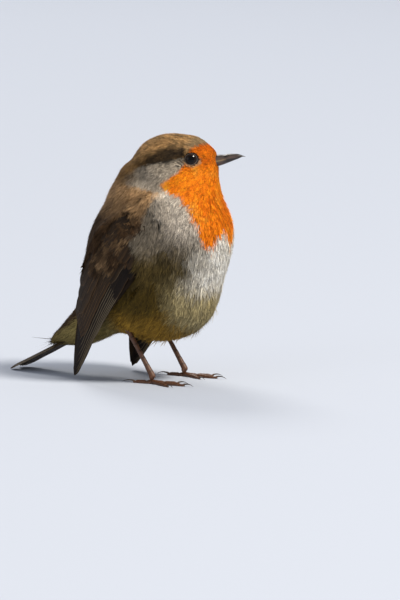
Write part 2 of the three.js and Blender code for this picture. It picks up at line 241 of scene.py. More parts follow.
# ---------- landmarks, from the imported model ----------
def end_of(node, depth=0.5):
    """The middle of a node's lowest points."""
    points = node_mesh(node)[0]
    return points[points[:, 2] < points[:, 2].min() + depth].mean(0)


def middle(node):
    low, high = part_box(node)
    return np.array((low + high) / 2) / MM


FEET = {side: end_of(f"tarsus_{side}") for side in SIDES}
ORIGIN = np.array([(FEET["left"][0] + FEET["right"][0]) / 2, (FEET["left"][1] + FEET["right"][1]) / 2, 0.0])
EYES = {side: middle(f"eye_{side}") for side in SIDES}
EYE_RADIUS = float(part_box("eye_left")[1][2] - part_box("eye_left")[0][2]) / MM / 2
BILL_DROP = math.radians(5.4)  # the bill's tip lies this far below straight ahead of the eyes
EYE_BACK = 0.7  # the eyes' middle from the head frame's origin: this far back, and
EYE_LOW = 0.3  # this far down


def head_frame():
    eyes = (EYES["left"] + EYES["right"]) / 2
    left = unit(EYES["left"] - EYES["right"])
    bill = node_mesh("bill_upper")[0]
    tip = bill[np.argmax(np.linalg.norm(bill - eyes, axis=1))]
    ahead = unit(across(tip - eyes, left))
    up = np.cross(ahead, left)
    forward = ahead * math.cos(BILL_DROP) + up * math.sin(BILL_DROP)
    up = np.cross(forward, left)
    return np.stack([forward, left, up], axis=1), eyes + forward * EYE_BACK + up * EYE_LOW


HEAD_AXES, HEAD_AT = head_frame()
HEAD_PLAIN = np.array([HEAD_AT[0] - ORIGIN[0], 0.0, HEAD_AT[2]])
BILL_BASE = np.array([9.0, 0.0, -1.9])  # in the head frame
EYE_LOOK = (0.22, 0.14)  # how far the eyes look forward and up, as shares of how far they look sideways
EYE_OPEN = (2.3, 2.05)  # half the length and the height of the opening between the lids


def eye_axes(side):
    """The way an eye looks, and the ways forward and up across it."""
    forward, left, up = HEAD_AXES.T
    look = unit(left * SIDES[side] + forward * EYE_LOOK[0] + up * EYE_LOOK[1])
    ahead = unit(across(forward, look))
    return look, ahead, unit(across(up, look) - ahead * np.dot(up, ahead))


EYE_AXES = {side: eye_axes(side) for side in SIDES}
EYE_HEIGHT = HEAD_AT[2] - EYE_LOW
NECK_LOW, NECK_HIGH = 62.0, 80.0  # heights between which the neck turns


def to_head(points):
    return (points - HEAD_AT) @ HEAD_AXES


def from_head(points):
    return np.asarray(points, float) @ HEAD_AXES.T + HEAD_AT


def bill_distance(points):
    """How far points are from the middle of the bill's base."""
    return np.linalg.norm(to_head(points) - BILL_BASE, axis=1)


def plain(points):
    """Row frame to plain frame."""
    bird = points - ORIGIN
    turned = smoothstep(NECK_LOW, NECK_HIGH, bird[:, 2])
    return mix(bird, to_head(points) + HEAD_PLAIN, turned)


# ---------- colours of the plumage ----------
ORANGE = np.array([0.95, 0.225, 0.005])
ORANGE_PALE = np.array([0.95, 0.36, 0.035])
ORANGE_DEEP = np.array([0.58, 0.085, 0.003])
# partly painted light: the crown is paler than the rest of the upper parts, as where light falls on the top of
# the head
CROWN = np.array([0.57, 0.33, 0.135])
CROWN_DARK = np.array([0.200, 0.125, 0.058])
FOREHEAD = np.array([0.28, 0.200, 0.110])
NAPE = np.array([0.27, 0.150, 0.052])
MANTLE = np.array([0.50, 0.305, 0.150])
# dark brown, made darker still with painted shade, as on the side away from the light
SCAPULAR = np.array([0.066, 0.035, 0.016])
EAR = np.array([0.42, 0.355, 0.275])
BREAST_GREY = np.array([0.56, 0.495, 0.42])
SIDE_GREY = np.array([0.165, 0.138, 0.104])
# painted shadow of a gap between the feathers behind the eye
EYE_GAP_SHADOW = np.array([0.010, 0.008, 0.006])
WHITE = np.array([0.78, 0.74, 0.66])
CREAM = np.array([0.34, 0.275, 0.135])
# the flanks' olive and grey-brown, made darker with painted shade, as on the side away from the light
FLANK_SHADED = np.array([0.072, 0.049, 0.014])
FLANK_OLIVE_SHADED = np.array([0.086, 0.053, 0.008])
OCHRE = np.array([0.27, 0.150, 0.020])
VENT = np.array([0.26, 0.200, 0.070])
EYE_RING = np.array([0.46, 0.30, 0.16])

# The bib's rear border: plain-frame x at each height.
BIB_BORDER = np.array(
    [[50, 25.0], [52, 23.0], [55.1, 21.1], [58.7, 20.4], [62.5, 19.0], [69, 12.4], [73.2, 5.4], [75.4, 1.0],
     [77.6, -1.6], [79.2, -0.5], [80.8, 2.0], [82.3, 4.9], [84.2, 6.8], [86.4, 8.0], [88.5, 8.6], [91, 9.8]]
)
# Its upper border: height at each plain-frame x.
BIB_TOP = np.array([[5, 89.4], [8, 89.3], [10, 90.0], [13.6, 90.9], [16, 90.4], [19, 89.4]])
# Its lower border: height at each distance from the midline, with a white wedge in the middle.
BIB_LOW = np.array(
    [[0, 59.3], [1.6, 57.2], [3.3, 54.8], [4.8, 52.2], [6.3, 52.2], [8.2, 55.4], [10.1, 58], [11.5, 61],
     [15, 64]]
)
LORE_HEIGHT = 84.8
WEDGE_SHIFT = 2.5  # the wedge is that far to the right of the midline
# Where the grey gives way to brown behind it: plain-frame x at each height.
BROWN_BORDER = np.array(
    [[20, -16], [30, -19], [45, -17], [54, -6], [58, 0.0], [62, 2.0], [66.3, 1.4], [71, 0.5], [74, -1.0],
     [76, -3.5], [77.2, -9.0], [79, -14.5], [82.9, -14.0], [85.5, -11.0], [86.6, -4.0], [87.4, 8.0], [90, 30]]
)
# The middle of the painted shadow of a feather gap behind the eye: height at plain-frame x = 0, its slope, and
# half its depth.
GAP_SHADOW_LINE = (88.45, 0.155)
GAP_SHADOW_DEPTH = np.array([[-16, 0.9], [-10.6, 1.2], [-6.6, 1.7], [-2.4, 2.3], [1.6, 2.7], [6, 2.1]])


def eye_distance(points):
    """How far points are from the eyes' openings: 1 on the rim of an opening, 2 twice as far out."""
    nearest = np.full(len(points), 99.0)
    for side in SIDES:
        look, ahead, up = EYE_AXES[side]
        at = points - EYES[side]
        away = np.hypot((at @ ahead) / EYE_OPEN[0], (at @ up) / EYE_OPEN[1])
        nearest = np.where(at @ look > 0, np.minimum(nearest, away), nearest)
    return nearest


def plumage(row_points):
    """The plumage's colour at points on or near the skin."""
    q = plain(row_points)
    x, y, z = q.T
    side = np.abs(y)
    wobble = 0.9 * noise(q, 3.2, 1) + 0.5 * noise(q, 1.3, 2)
    broad = noise(q, 9.0, 3)
    patchy = noise(q, 4.0, 7)
    streaks = noise(q * [1.0, 1.0, 0.3], 1.0, 4)
    rear = np.interp(z, *BIB_BORDER.T)

    # underparts: white belly with grey and olive flanks, darkened with painted shade, cream and ochre towards
    # the legs and the tail
    color = mix(FLANK_SHADED, SIDE_GREY, smoothstep(46, 58, z + 2 * wobble))
    color = mix(color, FLANK_OLIVE_SHADED, smoothstep(44, 34, z + 2 * wobble) * smoothstep(14, 4, x + wobble))
    color = mix(color, CREAM, smoothstep(46, 30, z + 2 * wobble) * smoothstep(4, 13, x + 1.5 * wobble))
    color = mix(color, OCHRE, smoothstep(31, 22, z + 2 * wobble) * smoothstep(15, 4, x + wobble))
    white_side = smoothstep(18.0, 5.0, side + 2.4 * wobble)
    color = mix(color, WHITE, white_side * smoothstep(30, 42, z + 2 * wobble) * smoothstep(8, 15, x))
    color = mix(color, VENT, smoothstep(-13, -23, x + wobble))

    # the grey of the breast's sides and the ear coverts
    pale = smoothstep(15, 3, rear - x + 2 * wobble) * smoothstep(50, 62, z + wobble)
    grey = mix(SIDE_GREY, BREAST_GREY, pale)
    # painted light: the ear coverts are up to 1.25 times as light towards the rear, against the shade that
    # falls there
    grey = mix(grey, EAR * lerp(1.25, 1.0, smoothstep(-10, -2, x))[:, None], smoothstep(74, 78, z))
    grey = mix(grey, BREAST_GREY * 1.5, smoothstep(2.4, 0.8, np.hypot(x - 1.2, z - 74.0)))
    color = mix(color, grey, smoothstep(48, 60, z + wobble) * smoothstep(7, 12, side + wobble))

    # the brown upper parts, darkest on the scapulars, partly as painted shade, with a paler crown, partly as
    # painted light on the top of the head
    brown = mix(SCAPULAR, MANTLE, smoothstep(60, 73, z + 1.5 * patchy + 2.0 * broad))
    brown = mix(brown, NAPE, smoothstep(77, 83, z))
    brown = mix(brown, mix(CROWN_DARK, CROWN, smoothstep(-0.9, 0.9, noise(q * [0.3, 1, 1], 0.6, 5))),
                smoothstep(85.0, 91.5, z))
    brown = mix(brown, FOREHEAD, 0.8 * smoothstep(3.0, 0.5, np.abs(z - 92.3)) * smoothstep(7, 12, x))
    border = np.interp(z, *BROWN_BORDER.T)
    soft = lerp(1.4, 3.2, smoothstep(70, 78, z) * smoothstep(86, 82, z))
    upper_side = smoothstep(soft, -soft, x - border + 0.9 * wobble)
    ventral_tail = smoothstep(0.0, -3.0, z - (14.5 + 0.62 * (x + 50))) * smoothstep(-8, -14, x)
    color = mix(color, brown, upper_side * (1 - ventral_tail))

    # painted shadow: the dark line behind the eye, where a gap between the feathers is shaded
    middle_line = GAP_SHADOW_LINE[0] + GAP_SHADOW_LINE[1] * x
    depth = np.interp(x, *GAP_SHADOW_DEPTH.T)
    off = z - middle_line
    soft = np.where(off > 0, 1.6, 0.7)
    gap_shadow = smoothstep(depth + soft, depth - soft, np.abs(off) + 0.5 * wobble)
    gap_shadow *= 0.94 + 0.06 * noise(q * [0.3, 1, 1], 0.8, 11)
    gap_shadow *= smoothstep(8.4, 7.0, x) * smoothstep(-16.0, -4.0, x) * smoothstep(3, 5, side)
    color = mix(color, EYE_GAP_SHADOW, 0.97 * gap_shadow)

    # the orange face and bib
    low = np.interp(np.abs(y + WEDGE_SHIFT), *BIB_LOW.T)
    top = np.interp(x, *BIB_TOP.T)
    inside = smoothstep(-0.8, 0.8, x - rear + 0.8 * wobble) * smoothstep(-1.4, 1.2, z - low + 1.3 * wobble)
    inside *= smoothstep(-0.5, 0.5, top - z + 0.5 * wobble)
    orange = mix(ORANGE, ORANGE_PALE, smoothstep(0.0, 0.9, patchy + 0.5 * streaks) * 0.6)
    orange = mix(orange, ORANGE_DEEP, smoothstep(84, 90, z) * smoothstep(-0.7, 0.6, patchy) * 0.7)
    orange = mix(orange, ORANGE_DEEP, smoothstep(0.2, 0.9, -streaks) * 0.35)
    lore = np.exp(-(((z - LORE_HEIGHT) / 1.5) ** 2)) * smoothstep(11.0, 13.0, x) * smoothstep(19.0, 17.0, x)
    orange = mix(orange, ORANGE_DEEP * 0.7, 0.6 * lore)
    color = mix(color, orange, inside)

    ring = eye_distance(row_points)
    color = mix(color, EYE_RING, 0.8 * smoothstep(1.75, 1.45, ring) * smoothstep(1.0, -0.6, z - EYE_HEIGHT))
    shade = 1.0 + 0.20 * streaks + 0.08 * noise(q, 0.5, 6)
    return np.clip(color * shade[:, None], 0.001, 0.95)


# ---------- materials: lengths in them are in metres ----------
def add_node(tree, kind, inputs=None, **settings):
    """A shader node with these settings. Each of inputs is a number, or another node's output to link."""
    node = tree.nodes.new("ShaderNode" + kind)
    for name, value in settings.items():
        setattr(node, name, value)
    for name, value in (inputs or {}).items():
        if isinstance(value, bpy.types.NodeSocket):
            tree.links.new(value, node.inputs[name])
        else:
            node.inputs[name].default_value = value
    return node


def new_material(name, **sockets):
    """A material and its shader, with some of the shader's own sockets set."""
    material = bpy.data.materials.new(name)
    material.use_nodes = True
    shader = material.node_tree.nodes["Principled BSDF"]
    for socket, value in sockets.items():
        shader.inputs[socket.replace("_", " ")].default_value = value
    return material, shader


def scaled(tree, color, factor):
    return add_node(tree, "VectorMath", {0: color, "Scale": factor}, operation="SCALE").outputs["Vector"]


def noise_tint(tree, scale, low, high):
    """The vertices' colours, made darker and lighter by noise between two factors, and the noise itself."""
    color = add_node(tree, "VertexColor", layer_name="Plumage").outputs["Color"]
    coords = add_node(tree, "TexCoord").outputs["Object"]
    grain = add_node(tree, "TexNoise", {"Vector": coords, "Scale": scale, "Detail": 4.0, "Roughness": 0.6})
    factor = add_node(tree, "MapRange", {"Value": grain.outputs["Fac"], "To Min": low, "To Max": high})
    return scaled(tree, color, factor.outputs["Result"]), grain.outputs["Fac"]


def finish_shader(shader, color, height=None, distance=0.0, strength=0.0):
    """Links the shader's colour and, where there is a height, its bumps."""
    tree = shader.id_data
    tree.links.new(color, shader.inputs["Base Color"])
    if height is not None:
        bump = add_node(tree, "Bump", {"Height": height, "Distance": distance, "Strength": strength})
        tree.links.new(bump.outputs["Normal"], shader.inputs["Normal"])


def soft_feather_material():
    material, shader = new_material("soft_plumage", Roughness=0.75, Specular_IOR_Level=0.12)
    finish_shader(shader, *noise_tint(material.node_tree, 2200.0, 0.78, 1.22), 0.0001, 0.25)
    return material


def horn_material(name, roughness, scale):
    material, shader = new_material(name, Roughness=roughness)
    finish_shader(shader, *noise_tint(material.node_tree, scale, 0.7, 1.3), 0.00006, 0.3)
    return material


BARB_PITCH = 0.42  # mm, as the vanes' own map is, between the barbs of a flight feather
BARB_SLANT = 1.9  # mm that a barb runs towards the feather's tip for each mm out from the shaft


def vane_material():
    """Flight feathers: fine barbs slant away from the shaft on both webs."""
    material, shader = new_material("flight_feather", Roughness=0.5, Specular_IOR_Level=0.12)
    tree = material.node_tree
    place = add_node(tree, "SeparateXYZ", {"Vector": add_node(tree, "UVMap", uv_map="Vane").outputs["UV"]})
    off = add_node(tree, "Math", {0: place.outputs["X"]}, operation="ABSOLUTE")
    slant = add_node(tree, "Math", {0: off.outputs["Value"], 1: -BARB_SLANT, 2: place.outputs["Y"]},
                     operation="MULTIPLY_ADD")
    phase = add_node(tree, "Math", {0: slant.outputs["Value"], 1: 2 * math.pi / BARB_PITCH},
                     operation="MULTIPLY")
    wave = add_node(tree, "Math", {0: phase.outputs["Value"]}, operation="SINE").outputs["Value"]
    tint, _ = noise_tint(tree, 1500.0, 0.75, 1.25)
    barbs = add_node(tree, "MapRange", {"Value": wave, "From Min": -1.0, "To Min": 0.84, "To Max": 1.12})
    finish_shader(shader, scaled(tree, tint, barbs.outputs["Result"]), wave, 0.00005, 0.5)
    return material


def leg_material():
    """Scaly skin, with fine cells between the scales that the mesh has."""
    material, shader = new_material("leg_skin", Roughness=0.45)
    tree = material.node_tree
    tint, _ = noise_tint(tree, 1800.0, 0.75, 1.25)
    coords = add_node(tree, "TexCoord").outputs["Object"]
    cells = add_node(tree, "TexVoronoi", {"Vector": coords, "Scale": 3200.0}, feature="DISTANCE_TO_EDGE")
    finish_shader(shader, tint, cells.outputs["Distance"], 0.0001, 0.5)
    return material


def eye_material():
    material, shader = new_material("eye", Roughness=0.03, IOR=1.36, Specular_IOR_Level=0.35)
    tint, _ = noise_tint(material.node_tree, 900.0, 0.7, 1.3)
    finish_shader(shader, tint)
    return material


SOFT = soft_feather_material()
VANE = vane_material()
HORN = horn_material("horn", 0.34, 1600.0)
CLAW = horn_material("claw", 0.38, 2400.0)
LID = horn_material("eyelid", 0.6, 3000.0)
LEG = leg_material()
EYE = eye_material()

# ---------- the skin ----------
SKIN_NODES = ("head", "neck", "trunk", "rump", "thigh_left", "thigh_right")
INFLATE = 0.35  # closes the parting gaps before the pieces are joined
UNDER_COAT = 0.75  # the skin lies this share of the coat's depth inside the CAD surface
SKIN_VOXEL = 0.8
# painted shade: the skin under the feathers has their colours, darkened by this factor
SKIN_SHADE = 0.45  # the skin has the coat's colours, this much darker
BILL_PLUG = 8.2  # the bill's root fills its slot in the face up to this head-frame x
EYE_PLUG = 0.88  # the eyeballs fill their sockets, a little smaller than they are


def skin_pieces():
    pieces = [node_mesh(name) for name in SKIN_NODES]
    for name in ("bill_upper", "bill_lower"):
        points, tris = node_mesh(name)
        local = to_head(points)
        local[:, 0] = np.minimum(local[:, 0], BILL_PLUG)
        pieces.append((from_head(local), tris))
    for side in SIDES:
        points, tris = node_mesh(f"eye_{side}")
        pieces.append((EYES[side] + (points - EYES[side]) * EYE_PLUG, tris))
    return pieces


def remeshed(name, points, tris, voxel):
    """The points, quads and edges of one closed surface round overlapping solids."""
    obj = build(name, points, tris)
    modifier = obj.modifiers.new("remesh", "REMESH")
    modifier.mode = "VOXEL"
    modifier.voxel_size = voxel * MM
    mesh = bpy.data.meshes.new_from_object(obj.evaluated_get(bpy.context.evaluated_depsgraph_get()))
    points = read(mesh.vertices, "co", 3, float) / MM
    quads = read(mesh.loops, "vertex_index", 1, np.int32).reshape(-1, 4)
    edges = read(mesh.edges, "vertices", 2, np.int32)
    bpy.data.objects.remove(obj)
    bpy.data.meshes.remove(mesh)
    return points, quads, edges


NAPE_FILL = 0.8  # the skin lies this much less deep at the nape, in mm
NAPE_LIFT = 1.2  # and its feathers stand this much further off


def coat_depth(points):
    """How far the plumage stands over the skin."""
    x, _, z = plain(points).T
    depth = np.interp(z, [14, 22, 50, 66, 76, 84, 97], [1.1, 1.7, 1.9, 1.7, 1.2, 0.8, 0.75])
    depth *= 0.35 + 0.65 * smoothstep(1.5, 9.0, bill_distance(points))
    return depth * (1 - 0.45 * smoothstep(-26, -36, x))


def nape(points):
    """1 on the nape, where the plumage is fullest, fading to 0 round it."""
    x, _, z = plain(points).T
    return smoothstep(-8.0, -13.0, x) * smoothstep(70.0, 78.0, z) * smoothstep(90.0, 85.5, z)


def open_sockets(points):
    """The skin pressed back under each eyeball's surface where the lids are open."""
    ring = eye_distance(points)
    for side in SIDES:
        at = points - EYES[side]
        reach = np.linalg.norm(at, axis=1)
        near = (at @ EYE_AXES[side][0] > 0) & (ring < 1.6)
        limit = EYE_RADIUS - lerp(0.7, 0.0, smoothstep(0.85, 1.35, ring))
        points = np.where((near & (reach > limit))[:, None], EYES[side] + unit(at) * limit[:, None], points)
    return points


def inflated(points, tris):
    return points + INFLATE * point_normals(points, tris), tris


SKIN_SOURCE = merged([inflated(*piece) for piece in skin_pieces()])
SKIN, SKIN_QUADS, SKIN_EDGES = remeshed("skin_source", *SKIN_SOURCE, SKIN_VOXEL)
SKIN_TRIS = np.concatenate([SKIN_QUADS[:, [0, 1, 2]], SKIN_QUADS[:, [0, 2, 3]]])
SKIN = relax(SKIN, SKIN_EDGES, rounds=10)
SKIN_DEPTH = INFLATE + UNDER_COAT * coat_depth(SKIN) - NAPE_FILL * nape(SKIN)
SKIN = SKIN - point_normals(SKIN, SKIN_TRIS) * SKIN_DEPTH[:, None]
SKIN = open_sockets(relax(SKIN, SKIN_EDGES, rounds=3))


# ---------- the distance field that feathers are laid along ----------
FAR = 30.0  # the distance at places that no solid comes near
DROP_FROM = 5.0  # how far out points start that are dropped onto a surface


class Field:
    """Signed distance to closed surfaces, and the way out, on a grid."""

    def __init__(self, points, tris, room=16.0, margin=8.0, step=1.0):
        self.low = points.min(0) - room
        self.step = step
        shape = np.ceil((points.max(0) + room - self.low) / step).astype(int) + 1
        self.distance = np.full(shape, FAR)
        self.join(points, tris, 0.01, margin)
        self.settle_signs()

    def keep(self, distance):
        self.distance = distance
        self.grid = np.stack([distance, *np.gradient(distance, self.step)], axis=-1)

    def join(self, points, tris, blend, margin, thickness=0.0):
        """Takes in another solid, smoothly joined over blend mm. A thin sheet is given a thickness instead
        of an inside: that far from it on either side."""
        tree = tree_of(points, tris)
        distance = self.distance.copy()
        first = np.maximum(np.floor((points.min(0) - margin - self.low) / self.step).astype(int), 0)
        last = np.ceil((points.max(0) + margin - self.low) / self.step).astype(int)
        last = np.minimum(last, np.array(distance.shape) - 1)
        for offset in np.ndindex(*(last - first + 1)):
            index = tuple(first + offset)
            p = Vector(self.low + np.array(index) * self.step)
            place, normal, _, away = tree.find_nearest(p)
            new = away - thickness if thickness or (p - place).dot(normal) > 0 else -away
            old = distance[index]
            h = max(blend - abs(new - old), 0.0) / blend
            distance[index] = min(new, old) - h * h * blend / 4
        self.keep(distance)

    def settle_signs(self):
        """Outside is what can be reached from the grid's border without crossing the surface."""
        away = np.abs(self.distance)
        clear = away > 0.6 * self.step
        outside = np.zeros_like(clear)
        for axis in range(3):
            np.moveaxis(outside, axis, 0)[[0, -1]] = True
        grown = outside
        while True:
            for axis in range(3):
                grown = grown | np.roll(outside, 1, axis) | np.roll(outside, -1, axis)
            grown = grown & clear
            if np.array_equal(grown, outside):
                break
            outside = grown
        self.keep(np.where(clear, np.where(outside, away, -away), self.distance))

    def joined_with(self, sheets, blend, margin, thickness):
        """A copy that takes in these thin sheets too."""
        copy = object.__new__(Field)
        copy.low, copy.step, copy.distance = self.low, self.step, self.distance
        for points, tris in sheets:
            copy.join(points, tris, blend, margin, thickness)
        return copy

    def sample(self, points):
        """The distance at each point, and the way out."""
        t = (points - self.low) / self.step
        cell = np.clip(np.floor(t).astype(int), 0, np.array(self.distance.shape) - 2)
        total = np.zeros((len(points), 4))
        for corner, weight in cell_weights(cell, np.clip(t - cell, 0.0, 1.0)):
            total += self.grid[tuple(corner.T)] * weight[:, None]
        return total[:, 0], unit(total[:, 1:])

    def lay(self, points, heights):
        """The points moved straight out or in until they stand this high over the surface."""
        for _ in range(3):
            distance, out = self.sample(points)
            points = points + out * np.clip(heights - distance, -2.0, 2.0)[:, None]
        return points

    def drop(self, points, facing):
        """The points brought down against facing, from outside, until they meet the surface."""
        points = points + DROP_FROM * facing
        for _ in range(12):
            distance, _ = self.sample(points)
            points = points - np.clip(0.8 * distance, -1.0, 3.0)[:, None] * facing
        return points


BODY_FIELD = Field(SKIN, SKIN_TRIS)

# ---------- the lie of the feathers ----------
# A line through the bird from the bill's base to the tail, in the plain frame: (x, z).
SPINE = np.array([[8, 86], [0, 83], [-3, 74], [-5, 62], [-8, 50], [-16, 35], [-30, 23], [-52, 13]], float)
SPINE_BLEND = 3.0


def flow(points, out):
    """The way feathers point, along the surface: away from the bill on the face, then along the spine."""
    q = plain(points)
    start, end = SPINE[:-1], SPINE[1:]
    run = end - start
    offset = q[:, None, [0, 2]] - start[None]
    share = np.clip(np.sum(offset * run, axis=2) / np.sum(run * run, axis=1), 0.0, 1.0)
    gap = np.linalg.norm(offset - share[..., None] * run, axis=2)
    weight = np.exp((gap.min(1, keepdims=True) - gap) / SPINE_BLEND)
    toward = np.einsum("ps,sk->pk", weight, unit(run))
    way = unit(np.stack([toward[:, 0], np.zeros(len(q)), toward[:, 1]], axis=1))
    from_bill = q - (BILL_BASE + HEAD_PLAIN)
    reach = np.linalg.norm(from_bill, axis=1)
    way = mix(way, unit(from_bill), smoothstep(26.0, 12.0, reach))
    turned = smoothstep(NECK_LOW, NECK_HIGH, points[:, 2])
    way = mix(way, way @ HEAD_AXES.T, turned)
    return unit(across(way, out))


# ---------- contour feathers ----------
BARB_HALF = 0.13  # half a barb's width, as a share of half the feather's


def barb_fan(pairs):
    """A loose vane: a middle barb and pairs of side barbs, each a thin blade of five points.

    Returns along (0 to 1), across (-1 to 1), the blade's number, and the triangles."""
    blades = [(0.0, 0.55, 0.0, 1.0, 0.0)]
    for k in range(1, pairs + 1):
        f = k / pairs
        root = 0.45 * (1 - f)
        tip = 1.0 - 0.34 * f**1.7
        for sign in (1, -1):
            blades.append((root, lerp(root, tip, 0.55), sign * 0.66 * f, tip, sign * 0.92 * f**0.9))
    along, side = [], []
    for root, middle_along, middle_side, tip, tip_side in blades:
        along += [root, root, middle_along, middle_along, tip]
        side += [-BARB_HALF / 2, BARB_HALF / 2, middle_side - BARB_HALF, middle_side + BARB_HALF, tip_side]
    blade = np.repeat(np.arange(len(blades)), 5)
    tris = np.array([[0, 1, 3], [0, 3, 2], [2, 3, 4]]) + 5 * np.arange(len(blades))[:, None, None]
    return np.array(along), np.array(side), blade, tris.reshape(-1, 3)


def varied(value, count):
    """A column of count numbers: one number for all, one each, or (low, high) for random ones. A third number
    is a power that draws them towards low."""
    if isinstance(value, tuple):
        low, high, power = (*value, 1)[:3]
        value = low + (high - low) * RANDOM.random(count) ** power
    return np.broadcast_to(value, count)[:, None]


def scatter(density):
    """Places on the skin: about density(points) to the square millimetre."""
    area = np.linalg.norm(face_normals(SKIN, SKIN_TRIS), axis=1) / 2
    want = area * density(SKIN[SKIN_TRIS].sum(axis=1) / 3)
    count = np.floor(want + RANDOM.random(len(want))).astype(int)
    return random_places(SKIN, np.repeat(SKIN_TRIS, count, axis=0))


def unwrap(points):
    """The skin's own unwrap: the angle round the spine and the way along it, from 0 to 1."""
    x, y, z = plain(points).T
    spine_x = np.interp(z, SPINE[:0:-1, 1], SPINE[:0:-1, 0])
    height = z + 0.45 * np.minimum(x + 14, 0)
    return np.stack([0.5 + np.arctan2(y, x - spine_x) / (2 * math.pi), (height + 12) / 112], axis=1)


PATCH = 0.003  # the width of a feather's place on the bake map


def bake_patches(roots, along, side):
    """One small patch for each feather at its root's place on the unwrap."""
    at = unwrap(roots)
    at = 0.01 + 0.97 * (at - at.min(0)) / np.maximum(at.max(0) - at.min(0), 1e-6)
    patch = np.stack([0.5 * side, along - 0.5], axis=1) * PATCH
    return (at[:, None, :] + patch[None]).reshape(-1, 2)


CREST = 0.8  # how much further the feathers behind the crown stand off, in mm
APPROACH = 1.2  # feathers are lowered onto the surface from this far out
DARKEST, LIGHTEST = 0.0008, 0.95


class Coat:
    """Contour feathers, gathered and then made into one piece for each region of the skin."""

    def __init__(self):
        self.batches = []

    def add(self, field, roots, length, width, depth, pairs, lift=0.0, spread=9.0, way=None, tone=plumage,
            ragged=0.12, contrast=0.16, fringe=0.0):
        """Feathers at roots. length, half width, depth and lift are in mm, each as varied takes it.

        They stand depth over the surface at their ends, plus lift for loose ones. contrast is how much they
        differ from each other, and fringe how much paler their rims are than their middles."""
        count = len(roots)
        length, width, depth, lift = (varied(value, count) for value in (length, width, depth, lift))
        _, out = field.sample(roots)
        way = flow(roots, out) if way is None else unit(across(np.broadcast_to(way, out.shape), out))
        sideways = np.cross(out, way)
        q = plain(roots)
        swirl = RANDOM.normal(size=count) * 0.7 + 1.3 * noise(q, 5.5, 8) + 0.6 * noise(q, 2.0, 9)
        swirl = (np.radians(spread) * swirl)[:, None]
        way, sideways = (way * np.cos(swirl) + sideways * np.sin(swirl),
                         sideways * np.cos(swirl) - way * np.sin(swirl))
        along, side, blade, tris = barb_fan(pairs)
        blades = (count, blade.max() + 1)
        reach = 1 + RANDOM.normal(size=blades) * ragged
        drift = RANDOM.normal(size=blades) * 0.12
        bend = RANDOM.normal(size=count)[:, None] * 0.10
        w = side + drift[:, blade] * along**2 + (bend * length / width) * along**2
        points = roots[:, None] + way[:, None] * (along * reach[:, blade] * length)[..., None]
        points = points + sideways[:, None] * (w * width)[..., None]
        points = points + out[:, None] * (APPROACH * along[:, None])
        rise = 0.08 + 0.92 * along**0.85 - 0.16 * side**2 * along
        rise = rise + (RANDOM.normal(size=blades) * 0.10)[:, blade] * along
        heights = depth * rise + lift * along**1.5
        points = field.lay(points.reshape(-1, 3), heights.ravel())
        color = tone(roots + way * (0.75 * length))
        own = 1 + contrast * np.clip(RANDOM.normal(size=count), -2, 2)
        barb = 1 + 1.1 * contrast * np.clip(RANDOM.normal(size=blades), -2, 2)
        # painted shade: each feather is darker towards its root, where the feathers over it shade it; own and
        # barb vary the tone at random
        light = (own[:, None] * barb)[:, blade] * (0.48 + 0.58 * np.minimum(along, 1) ** 1.3)
        light = light * (1 + fringe * (np.maximum(along**6, np.abs(side) ** 3) - 0.35))
        colors = np.clip(color[:, None] * light[..., None], DARKEST, LIGHTEST)
        self.batches.append((roots, points.reshape(count, -1, 3), colors, along, side, tris))

    def regions(self):
        """For each region's name, the share of every batch that grows there."""
        regions = {}
        for roots, points, colors, *fan in self.batches:
            where = region_of(roots)
            for region in np.unique(where):
                chosen = where == region
                regions.setdefault(region, []).append((roots[chosen], points[chosen], colors[chosen], *fan))
        return regions

    def make(self):
        """The pieces, each feather with its own small patch of the bake map."""
        for region, parts in self.regions().items():
            meshes, colors, uvs = [], [], []
            for roots, points, tones, along, side, tris in parts:
                count, per = points.shape[:2]
                faces = tris + per * np.arange(count)[:, None, None]
                meshes.append((points.reshape(-1, 3), faces.reshape(-1, 3)))
                colors.append(tones.reshape(-1, 3))
                uvs.append(bake_patches(roots, along, side))
            obj = build(f"plumage_{region}", *merged(meshes), np.concatenate(colors),
                        bake_uv=np.concatenate(uvs), material=SOFT)
            ride(obj, "head_plumage" if "crown" in region or "cheek" in region else "body_plumage")


def region_of(points):
    """The name of the part of the skin that a feather grows from."""
    q = plain(points)
    bands = np.array(["vent", "belly", "flank", "breast", "neck", "cheek", "crown"])
    band = bands[np.digitize(q[:, 2], [27, 40, 52, 64, 76, 86])]
    side = np.where(q[:, 1] > 0, "left", "right")
    return np.char.add(np.char.add(band, "_"), side)


